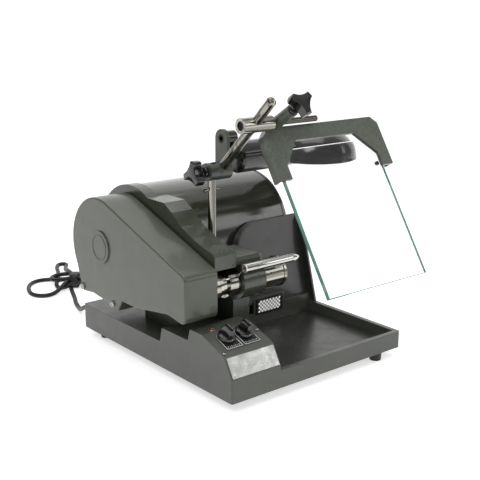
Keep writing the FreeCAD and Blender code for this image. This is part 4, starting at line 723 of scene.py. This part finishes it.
# Lever handle: an open tube with a bright lip on the left, drawn to a point on the right
handle_low, handle_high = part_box("lever_handle")
handle_middle = (handle_low + handle_high) / 2
handle_start = Vector((handle_low.x, handle_middle.y, handle_middle.z))
laid_across = Matrix(((0, 0, 1, 0), (0, 1, 0, 0), (-1, 0, 0, 0), (0, 0, 0, 1)))
handle_spot = Matrix.Translation(handle_start) @ laid_across
tube = lathe("handle_shape", [(2.7, 14), (2.7, 0.6), (3.0, 0.1), (4.4, 0.0), (5.2, 0.5), (5.5, 1.4),
                              (5.5, 76), (5.2, 81), (4.4, 86), (3.0, 90.5), (1.2, 93.6), (0, 94.5),
                              (0, 14)])
handle = piece("handle_shape", set_down(tube, handle_spot), handle_chrome, "release_lever", 40)
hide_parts("lever_handle")
lip = lathe("handle_rim", [(2.7, 1.0), (2.9, 0.1), (4.0, 0.0), (5.1, 0.2), (5.6, 0.9), (5.6, 1.6),
                           (2.7, 1.6)])
piece("handle_rim", set_down(lip, handle_spot), rim_satin, "release_lever", 60)
# A dark disc a little inside the bore: painted shade in the open tube
plug = lathe("handle_plug", [(0, 3), (2.7, 3), (2.7, 4), (0, 4)], 48, closed=False)
piece("handle_plug", set_down(plug, handle_spot), dark_caps_and_painted_shade, "release_lever", 30)


# Lamp shade: a deep bowl with a rolled rim

def bowl(radius, height):
    """The profile of a squared dome, from its rim to its crown."""
    steps = 22
    square = 0.8
    points = []
    for step in range(steps):
        angle = math.pi / 2 * step / steps
        points.append((radius * math.cos(angle) ** square, height * math.sin(angle) ** square))
    return points + [(0.0, height)]


LAMP_X = 299
SHADE_RIM_Z = 243
outside = [(61.8, 0.0), (62.9, 0.5), (63.0, 1.6), (62.5, 2.4)] + [p for p in bowl(62.4, 45.8) if p[1] > 2.6]
inside = [p for p in bowl(60.9, 44.3) if p[1] > 2.2][::-1] + [(60.9, 1.0)]
shade = lathe("shade_bowl", outside + inside, 128)
shade_spot = frame_at((LAMP_X, LAMP_Y, SHADE_RIM_Z), UPWARD, ACROSS)
shade_piece = piece("shade_bowl", set_down(shade, shade_spot), looks["shade_paint"], "lamp",
                    40)
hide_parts("lamp_shade")

# Green polished edge down both sides of the pane and along its foot
PANE_LEFT = 133
PANE_BACK = -12.3
PANE_TOP = 34
EDGE_PROUD = 0.12
edge = slab("pane_edge", [(-0.15, 9), (0.8, 9), (0.8, 200.8), (182.8, 200.8), (182.8, 9), (183.65, 9),
                          (183.65, 201.65), (-0.15, 201.65)], 5.24)
pane_turn = Matrix((ACROSS, DOWN, ACROSS.cross(DOWN))).transposed().to_4x4()
pane_spot = Matrix.Translation(at(*on_shield(PANE_LEFT, PANE_BACK, PANE_TOP))) @ pane_turn
pane_spot = pane_spot @ Matrix.Translation(mm(0, 0, -EDGE_PROUD))
piece("pane_edge", set_down(edge, pane_spot), glass_edge, "shield", 30)


# Mains cord: the free lead, the loops of its tied hank, and the run to the plug

HANK_X = 92.7
HANK_Y = 546.2
HANK_TURN = math.radians(39)


def in_hank(along, back, up):
    """A point of the hank: along it to the right, back from the camera, and up from the table."""
    x = HANK_X + along * math.cos(HANK_TURN) + back * math.sin(HANK_TURN)
    y = HANK_Y - along * math.sin(HANK_TURN) + back * math.cos(HANK_TURN)
    return x, y, up - FOOT


LEAD = [
    (30, 372, 14), (30, 387, 13), (33, 404, 8), (37, 421, 0), (43, 439, -8), (50, 458, -10.4),
    (57, 479, -10.4), (67, 499, -10.4), (75, 519, -10.4), (83, 538, -10.4), (91, 556, -10.4)]

HANK = [
    # Under the tie, round behind it and along to the first right-hand fold
    (-11, 26, 3.6), (-9, 46, 3.6), (2, 63, 3.6), (20, 73, 3.6), (40, 71, 3.6), (58, 61, 3.6),
    (74, 52, 3.6), (91, 48, 3.6), (109, 49, 3.6), (128, 49, 3.6), (142, 35, 3.6), (142, 15, 3.6),
    (128, 1, 3.6), (108, 1, 3.6), (90, 9, 3.6), (72, 18, 3.6), (50, 20, 4.5), (28, 20, 8),
    # The large loose loop on the left
    (6, 19, 11), (-11, 14, 14), (-16, -2, 13.5), (-22, -18, 8), (-30, -32, 4.4), (-42, -40, 3.6),
    (-57, -39, 3.6), (-69, -28, 3.6), (-76, -11, 3.6), (-81, 8, 3.6), (-81, 28, 3.6),
    (-73, 44, 3.6), (-57, 52, 3.6), (-38, 50, 4.5), (-20, 41, 8), (-6, 30, 10.8), (10, 27, 11),
    (30, 30, 9.5), (50, 32, 9.2), (72, 32, 10.6), (90, 40, 10.8), (108, 49, 10.8), (128, 49, 10.8),
    (142, 35, 10.8), (142, 15, 10.8), (128, 1, 10.8), (108, 1, 10.8), (90, 9, 10.8), (72, 18, 11),
    (50, 18, 12.5), (28, 17, 16), (8, 16, 18.2),
    # The small loop that lies on the large one
    (-8, 15, 18), (-19, 15, 15.5), (-35, 17, 13), (-46, 29, 11.6), (-46, 46, 11.2), (-34, 58, 11.2),
    (-17, 59, 12.5), (-2, 51, 15), (10, 39, 18), (28, 33, 18), (50, 32, 17.8), (72, 32, 18),
    (90, 40, 18), (108, 49, 18), (128, 49, 18), (142, 35, 18), (142, 15, 18), (128, 1, 18),
    (108, 1, 18), (90, 9, 18), (72, 18, 18.4), (50, 22, 19), (28, 24, 19), (6, 25, 18.4),
    # The long narrow loop that points away, back to the tie and on to the plug
    (-8, 31, 19.5), (-17, 47, 20), (-25, 68, 17), (-31, 90, 10), (-36, 112, 5.5), (-38.8, 131, 4.2),
    (-39.4, 143.7, 4.0), (-44.1, 148.4, 3.8), (-50.7, 148.4, 3.7), (-55.4, 143.7, 3.6), (-55.4, 131, 3.6),
    (-53, 119, 3.6), (-48, 102, 3.6),
    (-43.5, 83, 3.6), (-40.5, 63, 3.6), (-38, 43, 3.6), (-36, 25, 3.6), (-32, 10, 3.6),
    (-25, 1, 3.8), (-14, 0, 6.6), (-3, 7, 11.2), (9, 12, 11), (27, 8, 7), (45, 1, 3.7),
    (60, -8, 3.6), (72, -15, 7), (82, -19, 13), (93, -19.5, 14)]


def cord_curve():
    """The whole cord as one spline through the lead's and the hank's points."""
    curve = bpy.data.curves.new("mains_cord", "CURVE")
    curve.dimensions = "3D"
    curve.bevel_depth = 0.0036
    curve.bevel_resolution = 5
    curve.resolution_u = 8
    curve.use_fill_caps = True
    spline = curve.splines.new("NURBS")
    route = [at(*point) for point in LEAD] + [at(*in_hank(*point)) for point in HANK]
    spline.points.add(len(route) - 1)
    for point, place in zip(spline.points, route):
        point.co = (*place, 1)
    spline.order_u = 3
    spline.use_endpoint_u = True
    item = bpy.data.objects.new("mains_cord", curve)
    bpy.context.scene.collection.objects.link(item)
    curve.materials.append(looks["black_rubber"])
    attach(item, "base")
    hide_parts("cord_lead", "cord_hank")
    return item


def tie_band():
    """A black strap round the waist of the hank."""
    middle_back = 20.8
    middle_up = 12.7

    def squared(value):
        return math.copysign(abs(value) ** 0.5, value)

    def build(work):
        rows = []
        for along, inset in ((-9.5, 0.5), (-9.0, 0.0), (3.0, 0.0), (3.5, 0.5)):
            row = []
            for angle in around(40):
                back = middle_back + squared(math.cos(angle)) * (12.6 - inset)
                up = middle_up + squared(math.sin(angle)) * (11.6 - inset)
                row.append(work.verts.new(at(*in_hank(along, back, up))))
            rows.append(row)
        join_rings(work, rows)

    strap = piece("cord_tie", mesh_from("cord_tie", build), looks["black_rubber"], "base", 60)
    thick = strap.modifiers.new("thickness", "SOLIDIFY")
    thick.thickness = 0.001
    thick.offset = 1
    return strap


cord = cord_curve()
tie = tie_band()


# Floor, world, lights and camera

FLOOR_GLOW = 0.62
YAW = math.radians(39.3124)
PITCH = math.radians(14.8898)
ROLL = math.radians(0.17843)


def floor_material():
    """Plain white sweep: it takes the shadow, and shows white to the camera and in reflections."""
    made = Shader("pale_floor")
    made.shader.inputs["Base Color"].default_value = (0.9, 0.9, 0.9, 1)
    made.link(made.spread(made.noise(40, 3), 0.75, 0.85), made.shader.inputs["Roughness"])
    path = made.node("ShaderNodeLightPath")
    seen = made.maths("MAXIMUM", path.outputs["Is Camera Ray"], path.outputs["Is Glossy Ray"])
    seen = made.maths("MAXIMUM", seen, path.outputs["Is Transmission Ray"])
    made.shader.inputs["Emission Color"].default_value = (1, 1, 1, 1)
    made.link(made.maths("MULTIPLY", seen, FLOOR_GLOW), made.shader.inputs["Emission Strength"])
    return made.material


def add_floor():
    """A floor that curves up into a backdrop, square to the camera."""
    half_width = 4.0
    # Distance from the machine and height
    profile = [(-2.2, 0.0), (1.6, 0.0), (1.9, 0.03), (2.15, 0.12), (2.35, 0.3), (2.45, 0.6), (2.5, 3.2)]

    def build(work):
        rows = []
        forward = Vector((math.sin(YAW), math.cos(YAW), 0))
        side = Vector((math.cos(YAW), -math.sin(YAW), 0))
        for distance, height in profile:
            row = []
            for across in (-half_width, half_width):
                row.append(work.verts.new(forward * distance + side * across + Vector((0, 0, height))))
            rows.append(row)
        for near, far in zip(rows, rows[1:]):
            work.faces.new((near[0], near[1], far[1], far[0]))
    mesh = mesh_from("studio_floor", build)
    floor = bpy.data.objects.new("studio_floor", mesh)
    bpy.context.scene.collection.objects.link(floor)
    mesh.materials.append(floor_material())
    for face in mesh.polygons:
        face.use_smooth = True


def add_world():
    """A soft room: bright overhead, darker towards the horizon, so that plating shows bands."""
    world = bpy.data.worlds.new("studio")
    world.use_nodes = True
    bpy.context.scene.world = world
    tree = world.node_tree
    tree.nodes.clear()
    output = tree.nodes.new("ShaderNodeOutputWorld")
    soft = tree.nodes.new("ShaderNodeBackground")
    soft.inputs["Strength"].default_value = 1.0
    direction = tree.nodes.new("ShaderNodeTexCoord")
    parts = tree.nodes.new("ShaderNodeSeparateXYZ")
    tree.links.new(direction.outputs["Generated"], parts.inputs["Vector"])
    shades = tree.nodes.new("ShaderNodeValToRGB")
    stops = [(0.0, 0.35), (0.08, 0.16), (0.22, 0.06), (0.42, 0.14), (0.6, 0.42), (1.0, 0.6)]
    while len(shades.color_ramp.elements) < len(stops):
        shades.color_ramp.elements.new(0.5)
    for element, (position, level) in zip(shades.color_ramp.elements, stops):
        element.position = position
        element.color = (level, level, level, 1)
    tree.links.new(parts.outputs["Z"], shades.inputs["Fac"])
    tree.links.new(shades.outputs["Color"], soft.inputs["Color"])
    tree.links.new(soft.outputs["Background"], output.inputs["Surface"])


def add_light(name, place, aim, size, watts):
    """A soft box that looks at a point of the machine."""
    data = bpy.data.lights.new(name, "AREA")
    data.shape = "RECTANGLE"
    data.size, data.size_y = size
    data.energy = watts
    item = bpy.data.objects.new(name, data)
    item.location = place
    item.rotation_euler = (Vector(aim) - Vector(place)).to_track_quat("-Z", "Y").to_euler()
    bpy.context.scene.collection.objects.link(item)


def add_camera():
    """The photo's camera, as its fit gave it."""
    data = bpy.data.cameras.new("photo_camera")
    data.sensor_width = 36
    data.lens = 67.77
    data.clip_start = 0.05
    data.clip_end = 20
    item = bpy.data.objects.new("photo_camera", data)
    bpy.context.scene.collection.objects.link(item)
    forward = Vector((math.sin(YAW) * math.cos(PITCH), math.cos(YAW) * math.cos(PITCH), -math.sin(PITCH)))
    level = Vector((math.cos(YAW), -math.sin(YAW), 0))
    upright = level.cross(forward)
    right = level * math.cos(ROLL) + upright * math.sin(ROLL)
    up = upright * math.cos(ROLL) - level * math.sin(ROLL)
    turn = Matrix((right, up, -forward)).transposed().to_4x4()
    item.matrix_world = Matrix.Translation(at(-623.2, -775.2, 469.1)) @ turn
    bpy.context.scene.camera = item


add_floor()
add_world()
add_light("key", (-1.3, -0.9, 1.7), (0, 0, 0.15), (0.9, 0.9), 13)
add_light("fill", (1.4, -1.5, 1.0), (0, 0, 0.15), (1.0, 0.8), 5)
add_light("top", (0.2, 0.3, 2.0), (0, 0, 0.1), (1.3, 1.3), 9)
add_camera()

bpy.context.scene.view_settings.view_transform = "Standard"
bpy.context.view_layer.update()
